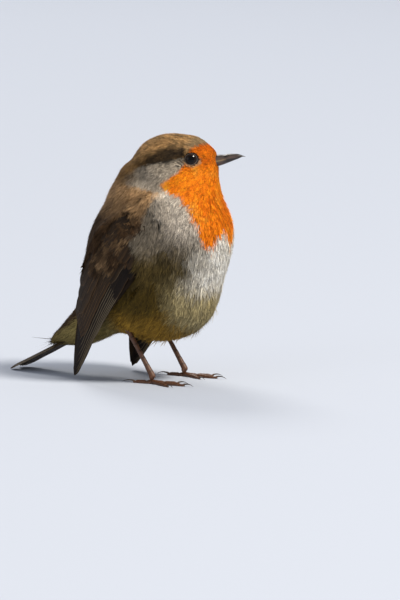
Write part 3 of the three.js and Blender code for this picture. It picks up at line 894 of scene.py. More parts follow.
# ---------- flat parts: wings and tail ----------
class Sheet:
    """The surface midway between the two faces of a folded wing or of the tail.

    Its own coordinates are a, mm along from the root, and b, mm across. Heights are measured from it."""

    def __init__(self, nodes, root, tip, toward, face):
        points, tris = merged([node_mesh(node) for node in nodes])
        self.root = np.asarray(root, float)
        self.length = float(np.linalg.norm(np.asarray(tip) - root))
        self.along = unit(np.asarray(tip) - root)
        self.across = unit(across(np.asarray(toward, float), self.along))
        self.out = np.cross(self.along, self.across)
        if np.dot(self.out, face) < 0:
            self.out = -self.out
        local_b = (points - self.root) @ self.across
        self.b = np.linspace(local_b.min() - 3, local_b.max() + 3, 71)
        self.a = np.linspace(0.0, self.length, 61)
        tree = tree_of(points, tris)
        self.front, self.rear, self.height = self.fill(self.middle_heights(tree))
        slope_a, slope_b = np.gradient(self.height, self.a[1] - self.a[0], self.b[1] - self.b[0])
        self.normal = unit(self.out - slope_a[..., None] * self.along - slope_b[..., None] * self.across)

    def middle_heights(self, tree, reach=40.0):
        height = np.full((len(self.a), len(self.b)), np.nan)
        for i, a in enumerate(self.a):
            for j, b in enumerate(self.b):
                at = self.root + a * self.along + b * self.across
                upper = tree.ray_cast(Vector(at + reach * self.out), Vector(-self.out))
                if upper[0] is not None:
                    lower = tree.ray_cast(Vector(at - reach * self.out), Vector(self.out))
                    height[i, j] = (lower[3] - upper[3]) / 2
        return height

    def fill(self, height):
        """Edges at each a, and the map with its surroundings filled from the nearest place and smoothed."""
        found = ~np.isnan(height)
        rows = np.where(found.sum(1) > 2)[0]
        front, rear, filled = [], [], []
        for i in rows:
            columns = np.where(found[i])[0]
            front.append(self.b[columns[0]])
            rear.append(self.b[columns[-1]])
            filled.append(np.interp(self.b, self.b[columns], height[i, columns]))
        every = np.arange(len(self.a))
        filled = np.array([np.interp(every, rows, column) for column in np.array(filled).T]).T
        for _ in range(6):
            padded = np.pad(filled, 1, mode="edge")
            filled = (padded[:-2, 1:-1] + padded[2:, 1:-1] + padded[1:-1, :-2] + padded[1:-1, 2:]) / 4
        front, rear = (smoothed(np.interp(every, rows, edge), 2) for edge in (front, rear))
        return front, rear, filled

    def edge(self, a, share):
        """b at a share of the way from the front edge to the rear edge."""
        front = np.interp(a, self.a, self.front)
        rear = np.interp(a, self.a, self.rear)
        return front + (rear - front) * share

    def locate(self, points):
        """Share of length, share of width and height of row-frame points."""
        local = points - self.root
        a, b, h = local @ self.along, local @ self.across, local @ self.out
        front, rear = self.edge(a, 0.0), self.edge(a, 1.0)
        base = (self.place(a, b, 0.0) - self.root) @ self.out
        return a / self.length, (b - front) / np.maximum(rear - front, 1.0), h - base

    def place(self, a, b, height):
        """Row-frame points at a, b, this high over the sheet."""
        i = np.clip(a / (self.a[1] - self.a[0]), 0, len(self.a) - 1.001)
        j = np.clip((b - self.b[0]) / (self.b[1] - self.b[0]), 0, len(self.b) - 1.001)
        i0, j0 = np.floor(i).astype(int), np.floor(j).astype(int)
        fi, fj = (i - i0)[..., None], (j - j0)[..., None]

        def blended(grid):
            low = grid[i0, j0] * (1 - fj) + grid[i0, j0 + 1] * fj
            high = grid[i0 + 1, j0] * (1 - fj) + grid[i0 + 1, j0 + 1] * fj
            return low * (1 - fi) + high * fi

        base = blended(self.height[..., None])[..., 0]
        flat = self.root + np.asarray(a)[..., None] * self.along + np.asarray(b)[..., None] * self.across
        return flat + base[..., None] * self.out + np.asarray(height)[..., None] * blended(self.normal)


VANE_STEPS = 26
WING_CLEAR = 0.12  # how far the lowest vanes lie over the sheet
RIM = 0.19  # width of the pale line along an outer web
# the wing's dark browns, fringes and pale edges, all made darker with painted shade, as on the side away from
# the light
WING_DARK = np.array([0.010, 0.006, 0.004])
WING_BROWN = np.array([0.030, 0.017, 0.008])
WING_FRINGE = np.array([0.084, 0.045, 0.019])
PALE_EDGE = np.array([0.27, 0.21, 0.13])
SHAFT = np.array([0.016, 0.010, 0.007])


class Vanes:
    """Flight feathers and their coverts, each a sheet of barbs with a raised shaft."""

    def __init__(self):
        self.points, self.faces, self.colors, self.vane = [], [], [], []
        self.count = 0

    def add(self, sheet, start, end, outer, inner, layer, look, tip=0.2, bow=0.0, camber=0.14, under=False):
        """A feather from start to end, each (a, b), with webs outer and inner mm wide.

        layer gives its height over the sheet at its start and its end; look is its colour, its outer web's
        and its rim's; under makes it face the body."""
        color, fringe, rim_color = look
        t = np.linspace(0, 1, VANE_STEPS)
        (a0, b0), (a1, b1) = start, end
        run = math.hypot(a1 - a0, b1 - b0)
        centre_a = lerp(a0, a1, t)
        centre_b = lerp(b0, b1, t) + bow * np.sin(math.pi * t)
        side_a, side_b = -(b1 - b0) / run, (a1 - a0) / run
        body = np.minimum(1.0, (t / 0.22 + 0.08) ** 0.8)
        point = np.sqrt(np.clip(1 - (np.clip(t - (1 - tip), 0, None) / tip) ** 2.4, 0.0004, 1))
        wave = 1 + 0.05 * np.sin(t * RANDOM.uniform(20, 40) + RANDOM.uniform(0, 6)) * (t > 0.3)
        v = np.array([-1, -1 + RIM / outer, -1 + 1.4 * RIM / outer, -0.45, -0.10, 0, 0.10, 0.5, 0.88, 1])
        offset = (body * point * wave)[:, None] * (v * np.where(v < 0, outer, inner))[None]
        rise = camber * (1 - v**2)[None] * body[:, None] + 0.06 * np.exp(-((v / 0.08) ** 2))[None]
        height = WING_CLEAR + lerp(layer[0], layer[1], t)[:, None] + rise
        points = sheet.place(centre_a[:, None] + side_a * offset, centre_b[:, None] + side_b * offset,
                             -height if under else height)
        rows, columns = offset.shape
        index = self.count + np.arange(rows * columns).reshape(rows, columns)
        quads = np.stack([index[:-1, :-1], index[:-1, 1:], index[1:, 1:], index[1:, :-1]], axis=-1)
        quads = quads.reshape(-1, 4)
        if (np.dot(np.cross(sheet.along, sheet.across), sheet.out) > 0) == under:
            quads = quads[:, ::-1]
        outer_web = smoothstep(-0.3, -0.8, v)[None] * smoothstep(0.05, 0.25, t)[:, None]
        paint = mix(color * (1 + 0.12 * RANDOM.normal()), fringe, 0.6 * outer_web)
        rim = np.array([1.0, 0.8, 0, 0, 0, 0, 0, 0, 0, 0.2])
        paint = mix(paint, rim_color, rim[None] * (smoothstep(0.12, 0.35, t) * lerp(1, 0.45, t))[:, None])
        paint = mix(paint, fringe, 0.6 * smoothstep(0.94, 1.0, t)[:, None])
        paint = mix(paint, SHAFT, 0.8 * (np.abs(v) < 0.05))
        # painted shade: each feather is darker towards its root, where the feathers over it shade it
        paint = paint * lerp(0.55, 1.0, smoothstep(0.0, 0.3, t))[:, None, None]
        self.points.append(points.reshape(-1, 3))
        self.faces.append(quads)
        self.colors.append(paint.reshape(-1, 3))
        self.vane.append(np.stack([offset.ravel(), np.repeat(t * run, columns)], axis=1))
        self.count += rows * columns

    def row(self, sheet, row, under=False):
        """A row of feathers. Those that are under face the body."""
        for k in np.linspace(0, 1, row.count):
            places = lerp(np.array(row.first), np.array(row.last), k)
            if row.reach:
                places[2] = np.interp(k, *np.transpose(row.reach))
            ends = []
            for share_a, share_b in (places[:2], places[2:4]):
                a = (share_a + RANDOM.normal() * 0.008 * row.jitter) * sheet.length
                ends.append((a, float(sheet.edge(a, share_b + RANDOM.normal() * 0.012 * row.jitter))))
            self.add(sheet, *ends, *row.webs, places[4:], row.look, row.tip, camber=row.camber, under=under)

    def make(self, name, *replaced):
        feathers = len(self.points)
        columns = math.ceil(math.sqrt(feathers * 4))
        rows = math.ceil(feathers / columns)
        bake = []
        for k, vane in enumerate(self.vane):
            cell = np.array([k % columns, k // columns])
            spread = (vane - vane.min(0)) / np.maximum(vane.max(0) - vane.min(0), 1e-6)
            bake.append((cell + 0.06 + 0.88 * spread) / [columns, rows])
        points, faces, colors, vane = map(np.concatenate, (self.points, self.faces, self.colors, self.vane))
        obj = build(name, points, faces, colors, np.concatenate(bake), vane, VANE)
        return ride(obj, "flight_feathers", *replaced)


def wing_sheet(side):
    points, _ = node_mesh(f"wing_{side}")
    top = points[points[:, 2] > points[:, 2].max() - 2.0].mean(0)
    tip = points[points[:, 2] < points[:, 2].min() + 0.8].mean(0)
    backward = np.array([-1.0, 0.0, 0.6])
    return Sheet([f"wing_{side}"], top, tip, backward, np.array([-0.25, SIDES[side], 0.0]))


class Row(NamedTuple):
    """Feathers side by side on a wing, from its front edge to its rear.

    first and last are six numbers for the first and the last feather: the shares of the wing's length and
    width at its root, the same at its tip, and its heights over the sheet at both. reach gives the share of
    length at the tips by a curve instead: (place in the row, share)."""

    count: int
    first: tuple
    last: tuple
    webs: tuple
    look: tuple
    tip: float
    camber: float = 0.14
    jitter: float = 0.0
    reach: tuple = ()


DARK = (WING_DARK, WING_BROWN, WING_FRINGE)
BROWN = (WING_BROWN, WING_FRINGE, WING_FRINGE * 1.7)
PRIMARIES = Row(
    9, (0.26, 0.10, 0.93, 0.28, 0.05, 0.0), (0.26, 0.42, 0.80, 0.60, 0.80, 0.70), webs=(1.2, 2.6),
    look=(WING_DARK, WING_BROWN, PALE_EDGE), tip=0.16, camber=0.03,
    reach=((0, 0.93), (0.15, 0.985), (0.3, 1.0), (0.45, 0.985), (1, 0.80)),
)
SECONDARIES = Row(6, (0.26, 0.38, 0.77, 0.52, 0.9, 0.8), (0.26, 0.74, 0.69, 0.86, 1.3, 1.15), webs=(1.7, 3.0),
                  look=BROWN, tip=0.2, camber=0.06)
TERTIALS = Row(3, (0.24, 0.66, 0.67, 0.80, 1.4, 1.25), (0.24, 0.84, 0.53, 0.93, 1.6, 1.5), webs=(2.8, 3.2),
               look=BROWN, tip=0.3, camber=0.1)
PRIMARY_COVERTS = Row(6, (0.14, 0.06, 0.46, 0.09, 1.0, 0.8), (0.14, 0.28, 0.39, 0.32, 1.0, 1.2),
                      webs=(1.2, 1.6), look=DARK, tip=0.3, jitter=0.5)
GREATER_COVERTS = Row(10, (0.12, 0.26, 0.40, 0.30, 1.3, 1.4), (0.12, 0.92, 0.36, 0.97, 1.3, 1.85),
                      webs=(1.4, 1.9), look=(WING_BROWN, WING_FRINGE * 0.8, PALE_EDGE * 0.45), tip=0.35,
                      camber=0.08, jitter=0.8)
ALULA = Row(3, (0.06, 0.05, 0.33, 0.07, 1.4, 1.5), (0.06, 0.15, 0.26, 0.2, 1.4, 1.7), webs=(1.2, 1.5),
            look=DARK, tip=0.35)
MEDIAN_COVERTS = Row(9, (0.06, 0.16, 0.275, 0.16, 1.6, 1.8), (0.06, 0.92, 0.25, 0.96, 1.6, 2.1),
                     webs=(1.4, 1.7), look=(WING_BROWN, WING_FRINGE * 0.9, WING_FRINGE), tip=0.45,
                     camber=0.08, jitter=1.0)
INNER_ROWS = (PRIMARIES, SECONDARIES)
OUTER_ROWS = (PRIMARIES, SECONDARIES, TERTIALS, PRIMARY_COVERTS, GREATER_COVERTS, ALULA, MEDIAN_COVERTS)
WING_CORE = 0.05  # the wing's own body is this share of the CAD wing's thickness


def wing_core(side, sheet):
    """The points and triangles of the thin body inside a wing that its feathers hide."""
    points, tris = node_mesh(f"wing_{side}")
    _, _, height = sheet.locate(points)
    points = points - sheet.out * (height * (1 - WING_CORE))[:, None]
    from_middle = points - points.mean(0)
    for way, share in ((sheet.across, 0.08), (sheet.along, 0.05)):
        points = points - way * (share * (from_middle @ way))[:, None]
    return points, tris


BEND_RISE, BEND_SINK = 4.5, 3.5  # how far the top of a wing is drawn up towards the shoulder and in, in mm
HOLLOW_RISE, HOLLOW_SINK = 7.0, 6.0  # the same for the sheet that fills the hollow behind the bend


def wing_slopes(side, sheet):
    """A wing's thin body with its top drawn up and in, so that feathers run from the body onto it with no
    step, and a second sheet that goes deeper at the top alone."""
    points, tris = wing_core(side, sheet)
    along, _, _ = sheet.locate(points)
    top = smoothstep(0.14, -0.02, along)[:, None]
    slope = points - top * (BEND_RISE * sheet.along + BEND_SINK * sheet.out)
    filler = points - top * (HOLLOW_RISE * sheet.along + HOLLOW_SINK * sheet.out)
    return [(slope, tris), (filler, tris[(along[tris] < 0.08).all(axis=1)])]


def make_wing_core(side, points, tris):
    tone = mix(WING_DARK, WING_BROWN, smoothstep(-1, 1, noise(points, 3.0, 12)))
    low, high = points.min(0), points.max(0)
    uv = ((points - low) / (high - low))[:, [0, 2]]
    core = build(f"wing_core_{side}", points, tris, tone, bake_uv=uv, material=SOFT)
    ride(core, "flight_feathers", f"wing_{side}")


# ---------- tail ----------
TAIL_DARK = np.array([0.045, 0.030, 0.019])
TAIL_FRINGE = np.array([0.120, 0.080, 0.040])
TAIL_GAP = 0.06  # over the floor


def tail_feathers():
    """Six pairs of feathers, with the middle pair on top."""
    nodes = ("tail_left", "tail_right")
    x, y, z = np.concatenate([node_mesh(node)[0] for node in nodes]).T
    root = np.array([x.max(), ORIGIN[1], z[x > x.max() - 1.5].mean()])
    tip = np.array([x.min(), ORIGIN[1], z[x < x.min() + 1.0].mean()])
    sheet = Sheet(nodes, root, tip, toward=np.array([0.0, 1.0, 0.0]), face=np.array([0.3, 0.0, 1.0]))
    half = float(np.abs(y - ORIGIN[1]).max())
    vanes = Vanes()
    look = (TAIL_DARK, TAIL_FRINGE, TAIL_FRINGE * 1.4)
    for sign in (1, -1):
        for k in range(5, -1, -1):
            spread = k / 5
            reach = np.interp(k, [0, 1, 2, 3, 4, 5], [0.965, 0.98, 0.99, 0.995, 0.99, 0.975]) * sheet.length
            end = (reach, sign * lerp(0.9, half - 2.3, spread))
            start = (2.0, sign * lerp(0.2, 1.4, spread))
            top = lerp(0.45, -0.35, spread) - (0.07 if sign < 0 else 0)
            outer, inner = (1.5, 2.6) if k else (2.3, 2.4)
            webs = (outer, inner) if sign < 0 else (inner, outer)
            vanes.add(sheet, start, end, *webs, (top, 0.7 * top), look, tip=0.12, bow=sign * 0.4 * spread)
    tail = vanes.make("tail_feathers", *nodes)
    for vertex in tail.data.vertices:
        vertex.co.z = max(vertex.co.z, TAIL_GAP * MM)
    return tail


# ---------- bill ----------
BILL_BLACK = np.array([0.016, 0.012, 0.011])
BILL_BROWN = np.array([0.085, 0.060, 0.050])
GAPE_PALE = np.array([0.300, 0.225, 0.115])
NOSTRIL = np.array([12.0, -1.25])  # head-frame x and z
NOSTRIL_HALF = (0.85, 0.30)
NOSTRIL_DEPTH = 0.42
BILL_POINT = 3.2  # length over which each half narrows to its point
UPPER_SLIM, LOWER_SLIM = 0.78, 0.55  # how much of its depth each half keeps before that
BILL_CLOSE = 0.13  # each half reaches this far over the gape's gap
BILL_RINGS, BILL_SIDES = 64, 40


def bill_outline(node):
    """Head-frame x, highest and lowest z and half width at each ring of a bill half."""
    points = to_head(node_mesh(node)[0])
    rows = []
    for x in np.unique(np.round(points[:, 0], 1)):
        ring = points[np.abs(points[:, 0] - x) < 0.12]
        if len(ring) >= 5:
            rows.append([x, ring[:, 2].max(), ring[:, 2].min(), np.abs(ring[:, 1]).max()])
    return np.array(rows).T


def bill_half(node, upper):
    """One half of the bill, flat on the side where the two meet."""
    stations, *edges = bill_outline(node)
    x = np.linspace(stations[0], stations[-1], BILL_RINGS)
    top, bottom, half = (smoothed(np.interp(x, stations, edge), 3) for edge in edges)
    bottom, top = (bottom - BILL_CLOSE, top) if upper else (bottom, top + BILL_CLOSE)
    taper = 1 - np.clip((x - x[-1] + BILL_POINT) / BILL_POINT, 0, 0.985) ** 1.6
    slim = lerp(1.0, UPPER_SLIM if upper else LOWER_SLIM,
                np.clip((x - x[0] - 1.0) / (x[-1] - x[0] - 1.0 - BILL_POINT), 0, 1))
    base = bottom if upper else top
    deep = (top - bottom) * taper * slim
    angle = full_turn(BILL_SIDES)
    c, s = np.cos(angle), np.sin(angle)
    wide = np.sign(c) * np.abs(c) ** 0.85
    tall = np.where((s < 0) if upper else (s > 0), s * 0.05, np.sign(s) * np.abs(s) ** 0.92)
    rings = np.empty((BILL_RINGS, BILL_SIDES, 3))
    rings[..., 0] = x[:, None]
    rings[..., 1] = (half * taper)[:, None] * wide
    rings[..., 2] = base[:, None] + deep[:, None] * tall
    hollow = np.zeros(rings.shape[:2])
    if upper:
        ridge = np.exp(-((wide / 0.16) ** 2)) * (s > 0)
        rings[..., 2] += 0.10 * ridge * smoothstep(21, 12, x)[:, None]
        gap = (rings[..., [0, 2]] - NOSTRIL) / NOSTRIL_HALF
        hollow = np.exp(-(gap[..., 0] ** 2 + gap[..., 1] ** 2))
        rings[..., 1] -= np.sign(rings[..., 1]) * NOSTRIL_DEPTH * hollow
    dark = smoothstep(14.5, 18.5, x) if upper else smoothstep(9.5, 13.0, x)
    # dark along the upper half's ridge, and along the lower half's underside as painted shade
    dark = np.maximum(dark[:, None], smoothstep(0.45, 0.95, np.abs(tall)))
    # painted shade: the nostril's shallow dent is painted nearly black
    tone = mix(mix(BILL_BROWN, BILL_BLACK, dark), BILL_BLACK * 0.3, hollow**0.7)
    from_gape = np.abs(rings[..., 2] - base[:, None])
    tone = mix(tone, GAPE_PALE, np.exp(-((from_gape / 0.3) ** 2)) * smoothstep(13.0, 10.5, x)[:, None])
    colors = np.concatenate([tone.reshape(-1, 3), np.tile(BILL_BLACK, (2, 1))])
    ends = rings[0].mean(0), rings[-1].mean(0)
    points, quads, caps, uv = closed_rings(rings, *ends, np.linspace(0.02, 0.98, BILL_RINGS))
    obj = build(node + "_horn", from_head(points), [quads, caps], colors, bake_uv=uv, material=HORN)
    ride(obj, "horn", node)


# ---------- eyes and lids ----------
IRIS = np.array([0.014, 0.007, 0.004])
PUPIL = np.array([0.0015, 0.001, 0.001])
LID_DARK = np.array([0.024, 0.018, 0.014])
LID_PALE = np.array([0.34, 0.25, 0.17])
CORNEA_BULGE = 0.05  # as a share of the eye's radius
EYE_RINGS, EYE_SIDES = 39, 48
LID_STEPS, LID_SIDES = 72, 14
LID_THICK = 0.15


def eye(side):
    look, ahead, up = EYE_AXES[side]
    polar = np.linspace(0, math.pi, EYE_RINGS + 2)[1:-1]
    turn = full_turn(EYE_SIDES)
    radius = EYE_RADIUS * (1 + CORNEA_BULGE * np.exp(-((polar / 0.45) ** 2)))
    ring = np.cos(turn)[:, None] * ahead + np.sin(turn)[:, None] * up
    ways = np.cos(polar)[:, None, None] * look + np.sin(polar)[:, None, None] * ring
    rings = EYES[side] + radius[:, None, None] * ways
    poles = EYES[side] + np.array([look * EYE_RADIUS * (1 + CORNEA_BULGE), -look * EYE_RADIUS])
    points, quads, caps, uv = closed_rings(rings, *poles, polar / math.pi)
    faces = [turned_round(quads), turned_round(caps)]
    if SIDES[side] < 0:
        faces = [f[:, ::-1] for f in faces]
    iris = np.repeat(smoothstep(0.30, 0.42, polar), EYE_SIDES)
    colors = np.concatenate([mix(PUPIL, IRIS, iris), [PUPIL, IRIS]])
    ride(build(f"eyeball_{side}", points, faces, colors, bake_uv=uv, material=EYE), "eye", f"eye_{side}")


def eyelids(side):
    """A ring of bare skin round the opening, thickest at its two corners and pale along its lower rim."""
    look, ahead, up = EYE_AXES[side]
    turn, roll = full_turn(LID_STEPS), full_turn(LID_SIDES)
    open_x, open_z = EYE_OPEN
    flat = np.stack([open_x * np.cos(turn), open_z * np.sin(turn) * (1 - 0.06 * np.cos(turn))], axis=1)
    rise = np.sqrt(EYE_RADIUS**2 - np.linalg.norm(flat, axis=1) ** 2)
    in_plane = flat[:, :1] * ahead + flat[:, 1:] * up
    centre = in_plane + rise[:, None] * look
    thick = LID_THICK + 0.03 * np.cos(turn * 2) + 0.015 * RANDOM.normal(size=LID_STEPS)
    ring = centre[:, None] + thick[:, None, None] * (
        1.25 * np.cos(roll)[None, :, None] * unit(in_plane)[:, None] + np.sin(roll)[None, :, None] * look
    )
    index = np.arange(LID_STEPS * LID_SIDES).reshape(LID_STEPS, LID_SIDES)
    right, down = np.roll(index, -1, axis=0), np.roll(index, -1, axis=1)
    quads = np.stack([index, right, np.roll(right, -1, axis=1), down], axis=-1).reshape(-1, 4)
    if SIDES[side] > 0:
        quads = quads[:, ::-1]
    pale = smoothstep(0.2, 1.0, np.cos(roll)) * smoothstep(0.5, -0.6, np.sin(turn + 0.5))[:, None]
    colors = mix(LID_DARK, LID_PALE, pale).reshape(-1, 3)
    uv = np.stack([np.repeat(np.arange(LID_STEPS) / LID_STEPS, LID_SIDES),
                   np.tile(np.arange(LID_SIDES) / LID_SIDES, LID_STEPS)], axis=1)
    points = ring.reshape(-1, 3) + EYES[side]
    ride(build(f"eyelids_{side}", points, quads, colors, bake_uv=uv, material=LID), "leg_skin")


# ---------- legs, toes and claws ----------
LEG_BROWN = np.array([0.115, 0.046, 0.020])
LEG_SEAM = np.array([0.028, 0.012, 0.007])
LEG_PALE = np.array([0.170, 0.092, 0.052])
CLAW_DARK = np.array([0.040, 0.027, 0.020])
CLAW_PALE = np.array([0.130, 0.085, 0.055])
FLOOR_GAP = 0.02


def spine_of(node, start, stations=9):
    """The middle line and the radii of a long node, from the end that is nearest to start."""
    points = node_mesh(node)[0]
    centre = points.mean(0)
    axis = np.linalg.svd(points - centre)[2][0]
    if np.dot(axis, centre - start) < 0:
        axis = -axis
    t = (points - centre) @ axis
    at = np.linspace(t.min(), t.max(), stations)
    near = np.exp(-(((t[None] - at[:, None]) / ((at[1] - at[0]) * 0.75)) ** 2))
    near /= near.sum(1, keepdims=True)
    line = near @ points
    line = line + ((at - (line - centre) @ axis))[:, None] * axis
    off = across(points[None] - line[:, None], axis)
    radius = np.sum(near * np.linalg.norm(off, axis=2), axis=1)
    return line, radius


def tube(points, radii, sides, steps, shape):
    """A closed tube through points. shape(t, angle, length) gives a factor on the radius and a colour."""
    points = np.asarray(points, float)
    distance = np.concatenate([[0], np.cumsum(np.linalg.norm(np.diff(points, axis=0), axis=1))])
    length = distance[-1]
    t = np.linspace(0, 1, steps)
    line = np.stack([np.interp(t * length, distance, points[:, k]) for k in range(3)], axis=1)
    padded = np.pad(line, ((2, 2), (0, 0)), mode="reflect", reflect_type="odd")
    line = np.stack([np.convolve(padded[:, k], np.ones(5) / 5, "valid") for k in range(3)], axis=1)
    radius = np.interp(t * length, distance, np.asarray(radii, float))
    tangent = unit(np.gradient(line, axis=0))
    side = unit(np.cross(tangent, np.array([0.0, 0.0, 1.0])))
    up = np.cross(side, tangent)
    angle = full_turn(sides)
    factor, color = shape(t[:, None], angle[None], length)
    from_end = np.minimum(t, 1 - t) * length
    ends = np.sqrt(1 - np.clip(1 - from_end / (0.9 * radius), 0, 1) ** 2)
    spread = (radius * np.maximum(ends, 0.08))[:, None] * factor
    rings = line[:, None] + spread[..., None] * (
        np.cos(angle)[None, :, None] * side[:, None] + np.sin(angle)[None, :, None] * up[:, None]
    )
    points, quads, caps, uv = closed_rings(rings, line[0], line[-1], t)
    colors = np.concatenate([color.reshape(-1, 3), color[0, :1], color[-1, :1]])
    return points, turned_round(quads), turned_round(caps), colors, uv


TARSUS_PLATE, TOE_PLATE = 3.0, 1.15  # the pitch of the plates
SEAM = 0.10  # half the width of the dark line between two plates, as a share of their pitch
PAD_PITCH = 3.4  # mm between the pads under a toe


def scutes(pitch, top_share, pads=0.0):
    """Overlapping plates along the top of a leg or toe, each with a dark seam behind it."""

    def shape(t, angle, length):
        plate = (t * length / pitch) % 1.0
        on_top = smoothstep(top_share, top_share + 0.5, np.sin(angle))
        under = smoothstep(0.2, 0.9, -np.sin(angle))
        swell = pads * np.cos(2 * math.pi * t * length / PAD_PITCH) * under
        factor = 1 + (0.075 * plate - 0.04) * on_top + swell
        seam = np.exp(-((plate / SEAM) ** 2)) + np.exp(-(((plate - 1.0) / SEAM) ** 2))
        color = mix(LEG_BROWN, LEG_SEAM, np.clip(seam, 0, 1) * on_top * 0.9)
        return factor, mix(color, LEG_PALE, 0.55 * under)

    return shape


def horny(t, angle, length):
    """Plain horn, pale at the root and dark towards the point."""
    factor = np.ones(np.broadcast_shapes(t.shape, angle.shape))
    return factor, mix(CLAW_PALE, CLAW_DARK, smoothstep(0.0, 0.45, t) * factor)


def claw(toe_end, tip, toe_radius):
    """A hook that rises out of the end of a toe and curves down to its tip."""
    t = np.linspace(0, 1, 14)[:, None]
    root = lerp(toe_end, tip, -0.15) * [1, 1, 0] + [0, 0, toe_end[2] + 0.25]
    low_tip = tip * [1, 1, 0] + [0, 0, 0.14]
    crown = lerp(root, low_tip, 0.55) + [0, 0, 1.15]
    line = root * (1 - t) ** 2 + crown * (2 * t * (1 - t)) + low_tip * t**2
    radius = toe_radius * 0.70 * (1 - 0.90 * t[:, 0] ** 0.9)
    return tube(line, radius, 18, 60, horny)


def make_tubes(name, tubes, material, slot, replaced):
    """Several tubes as one piece, each on its own strip of the bake map."""
    points, quads = merged([(points, quads) for points, quads, *_ in tubes])
    _, caps = merged([(points, caps) for points, _, caps, *_ in tubes])
    strips = [(uv * [0.96, 1.0] + [k + 0.02, 0.0]) / [len(tubes), 1.0] for k, (*_, uv) in enumerate(tubes)]
    points[:, 2] = np.maximum(points[:, 2], FLOOR_GAP)
    obj = build(name, points, [quads, caps], np.concatenate([colors for *_, colors, _ in tubes]),
                bake_uv=np.concatenate(strips), material=material)
    ride(obj, slot, *replaced)


def leg(side):
    joint = FEET[side] + [0.0, 0.0, 0.25]
    line, radius = spine_of(f"tarsus_{side}", joint)
    parts = [tube(line, radius, 28, 150, scutes(TARSUS_PLATE, top_share=-0.1))]
    claws = []
    for toe in TOES:
        line, radius = spine_of(f"{toe}_{side}", joint)
        line = np.concatenate([[joint * [1, 1, 0] + [0, 0, line[0, 2] + 0.15]], line])
        radius = np.concatenate([[radius[0] * 1.05], radius * 1.02])
        claw_line, _ = spine_of(f"{toe}_claw_{side}", line[-1])
        parts.append(tube(line, radius, 24, 96, scutes(TOE_PLATE, top_share=0.0, pads=0.10)))
        claws.append(claw(line[-1], claw_line[-1], radius[-2]))
    ball = joint + np.array([[0.9, 0, -0.35], [0, 0, 0.3], [-0.9, 0, -0.1]])
    parts.append(tube(ball, [1.15, 1.5, 1.15], 24, 32, scutes(TOE_PLATE, top_share=2.0)))
    make_tubes(f"leg_{side}", parts, LEG, "leg_skin", [f"tarsus_{side}", *(f"{toe}_{side}" for toe in TOES)])
    make_tubes(f"claws_{side}", claws, CLAW, "claw", [f"{toe}_claw_{side}" for toe in TOES])


# ---------- making the bird ----------
def make_skin():
    colors = plumage(SKIN) * SKIN_SHADE
    uv = unwrap(SKIN)
    uv = 0.01 + 0.98 * (uv - uv.min(0)) / (uv.max(0) - uv.min(0))
    skin = build("skin", SKIN, SKIN_QUADS, colors, bake_uv=uv, material=SOFT)
    ride(skin, "body_plumage", *SKIN_NODES)


def feather_length(points):
    """How long the feathers are, in mm: shortest round the bill, longest on the belly and the tail's root."""
    x, _, z = plain(points).T
    length = np.interp(z, [14, 24, 38, 52, 64, 74, 80, 86, 97], [8.5, 9.0, 8.5, 7.0, 5.8, 4.6, 3.6, 2.9, 2.7])
    length = np.where(x < -24, 9.0, length)
    return length * (0.30 + 0.70 * smoothstep(1.0, 10.0, bill_distance(points)))


def feather_density(points):
    """Feathers to the square millimetre of skin."""
    density = np.interp(plain(points)[:, 2], [14, 40, 60, 74, 80, 97], [1.6, 1.6, 2.0, 2.9, 4.2, 4.4])
    return density * (1 + 1.2 * smoothstep(8, 3, bill_distance(points)))


def clear_of_eyes(roots, reach):
    """Feathers that don't reach over an eye's opening."""
    keep = np.ones(len(roots), bool)
    _, out = BODY_FIELD.sample(roots)
    way = flow(roots, out)
    for share in (0.0, 0.35, 0.7, 1.0):
        keep &= eye_distance(roots + way * (reach * share)[:, None]) > 1.1
    return keep


def under_wing(points, sheets):
    """True where a point on the body lies well under a folded wing."""
    under = np.zeros(len(points), bool)
    for side, sheet in sheets.items():
        along, width, _ = sheet.locate(points)
        on_side = (points[:, 1] - ORIGIN[1]) * SIDES[side] > 6
        front = np.interp(along, [0.0, 0.15, 0.35, 1.0], [0.5, 0.30, 0.12, 0.10])
        under |= (width > front) & (width < 0.86) & (along > 0.06) & (along < 1.0) & on_side
    return under


BEND_LIFT = 3.0  # from the body's side to the outside of the wing's bend


def over_wing(points, side, sheet):
    """True for places on the skin whose feathers lie over the front and the top of a folded wing."""
    along, width, _ = sheet.locate(points)
    on_side = (points[:, 1] - ORIGIN[1]) * SIDES[side] > 4
    rear = np.interp(along, [-0.25, -0.02, 0.05, 0.12, 0.20, 0.30], [1.2, 1.0, 0.50, 0.10, 0.0, -0.4])
    return on_side & (along > -0.25) & (width > -0.40) & (width < rear)


def bend_coat(coat, side, sheet, cover):
    """The body's feathers where they cover the bend of a folded wing."""
    region = lambda s, c: ((s < 0.16) & (c < 0.45 - 2.0 * s)) | ((s < 0.10) & (c < 1.1))
    roots = cover.drop(wing_roots(side, sheet, 2.4, region), sheet.out)
    coat.add(cover, roots, (4.5, 6.0), (1.1, 1.5), 1.0, 5, spread=11.0, contrast=0.2,
             tone=lambda points: plumage(points - BEND_LIFT * sheet.out))


def crest(points):
    """How much further the slightly raised feathers of the crown and the nape stand, in mm."""
    local = to_head(points)
    behind = smoothstep(1.0, -5.0, local[:, 0]) * smoothstep(-26.0, -14.0, local[:, 0])
    return CREST * behind * smoothstep(-8.0, 2.0, local[:, 2]) + NAPE_LIFT * nape(points)


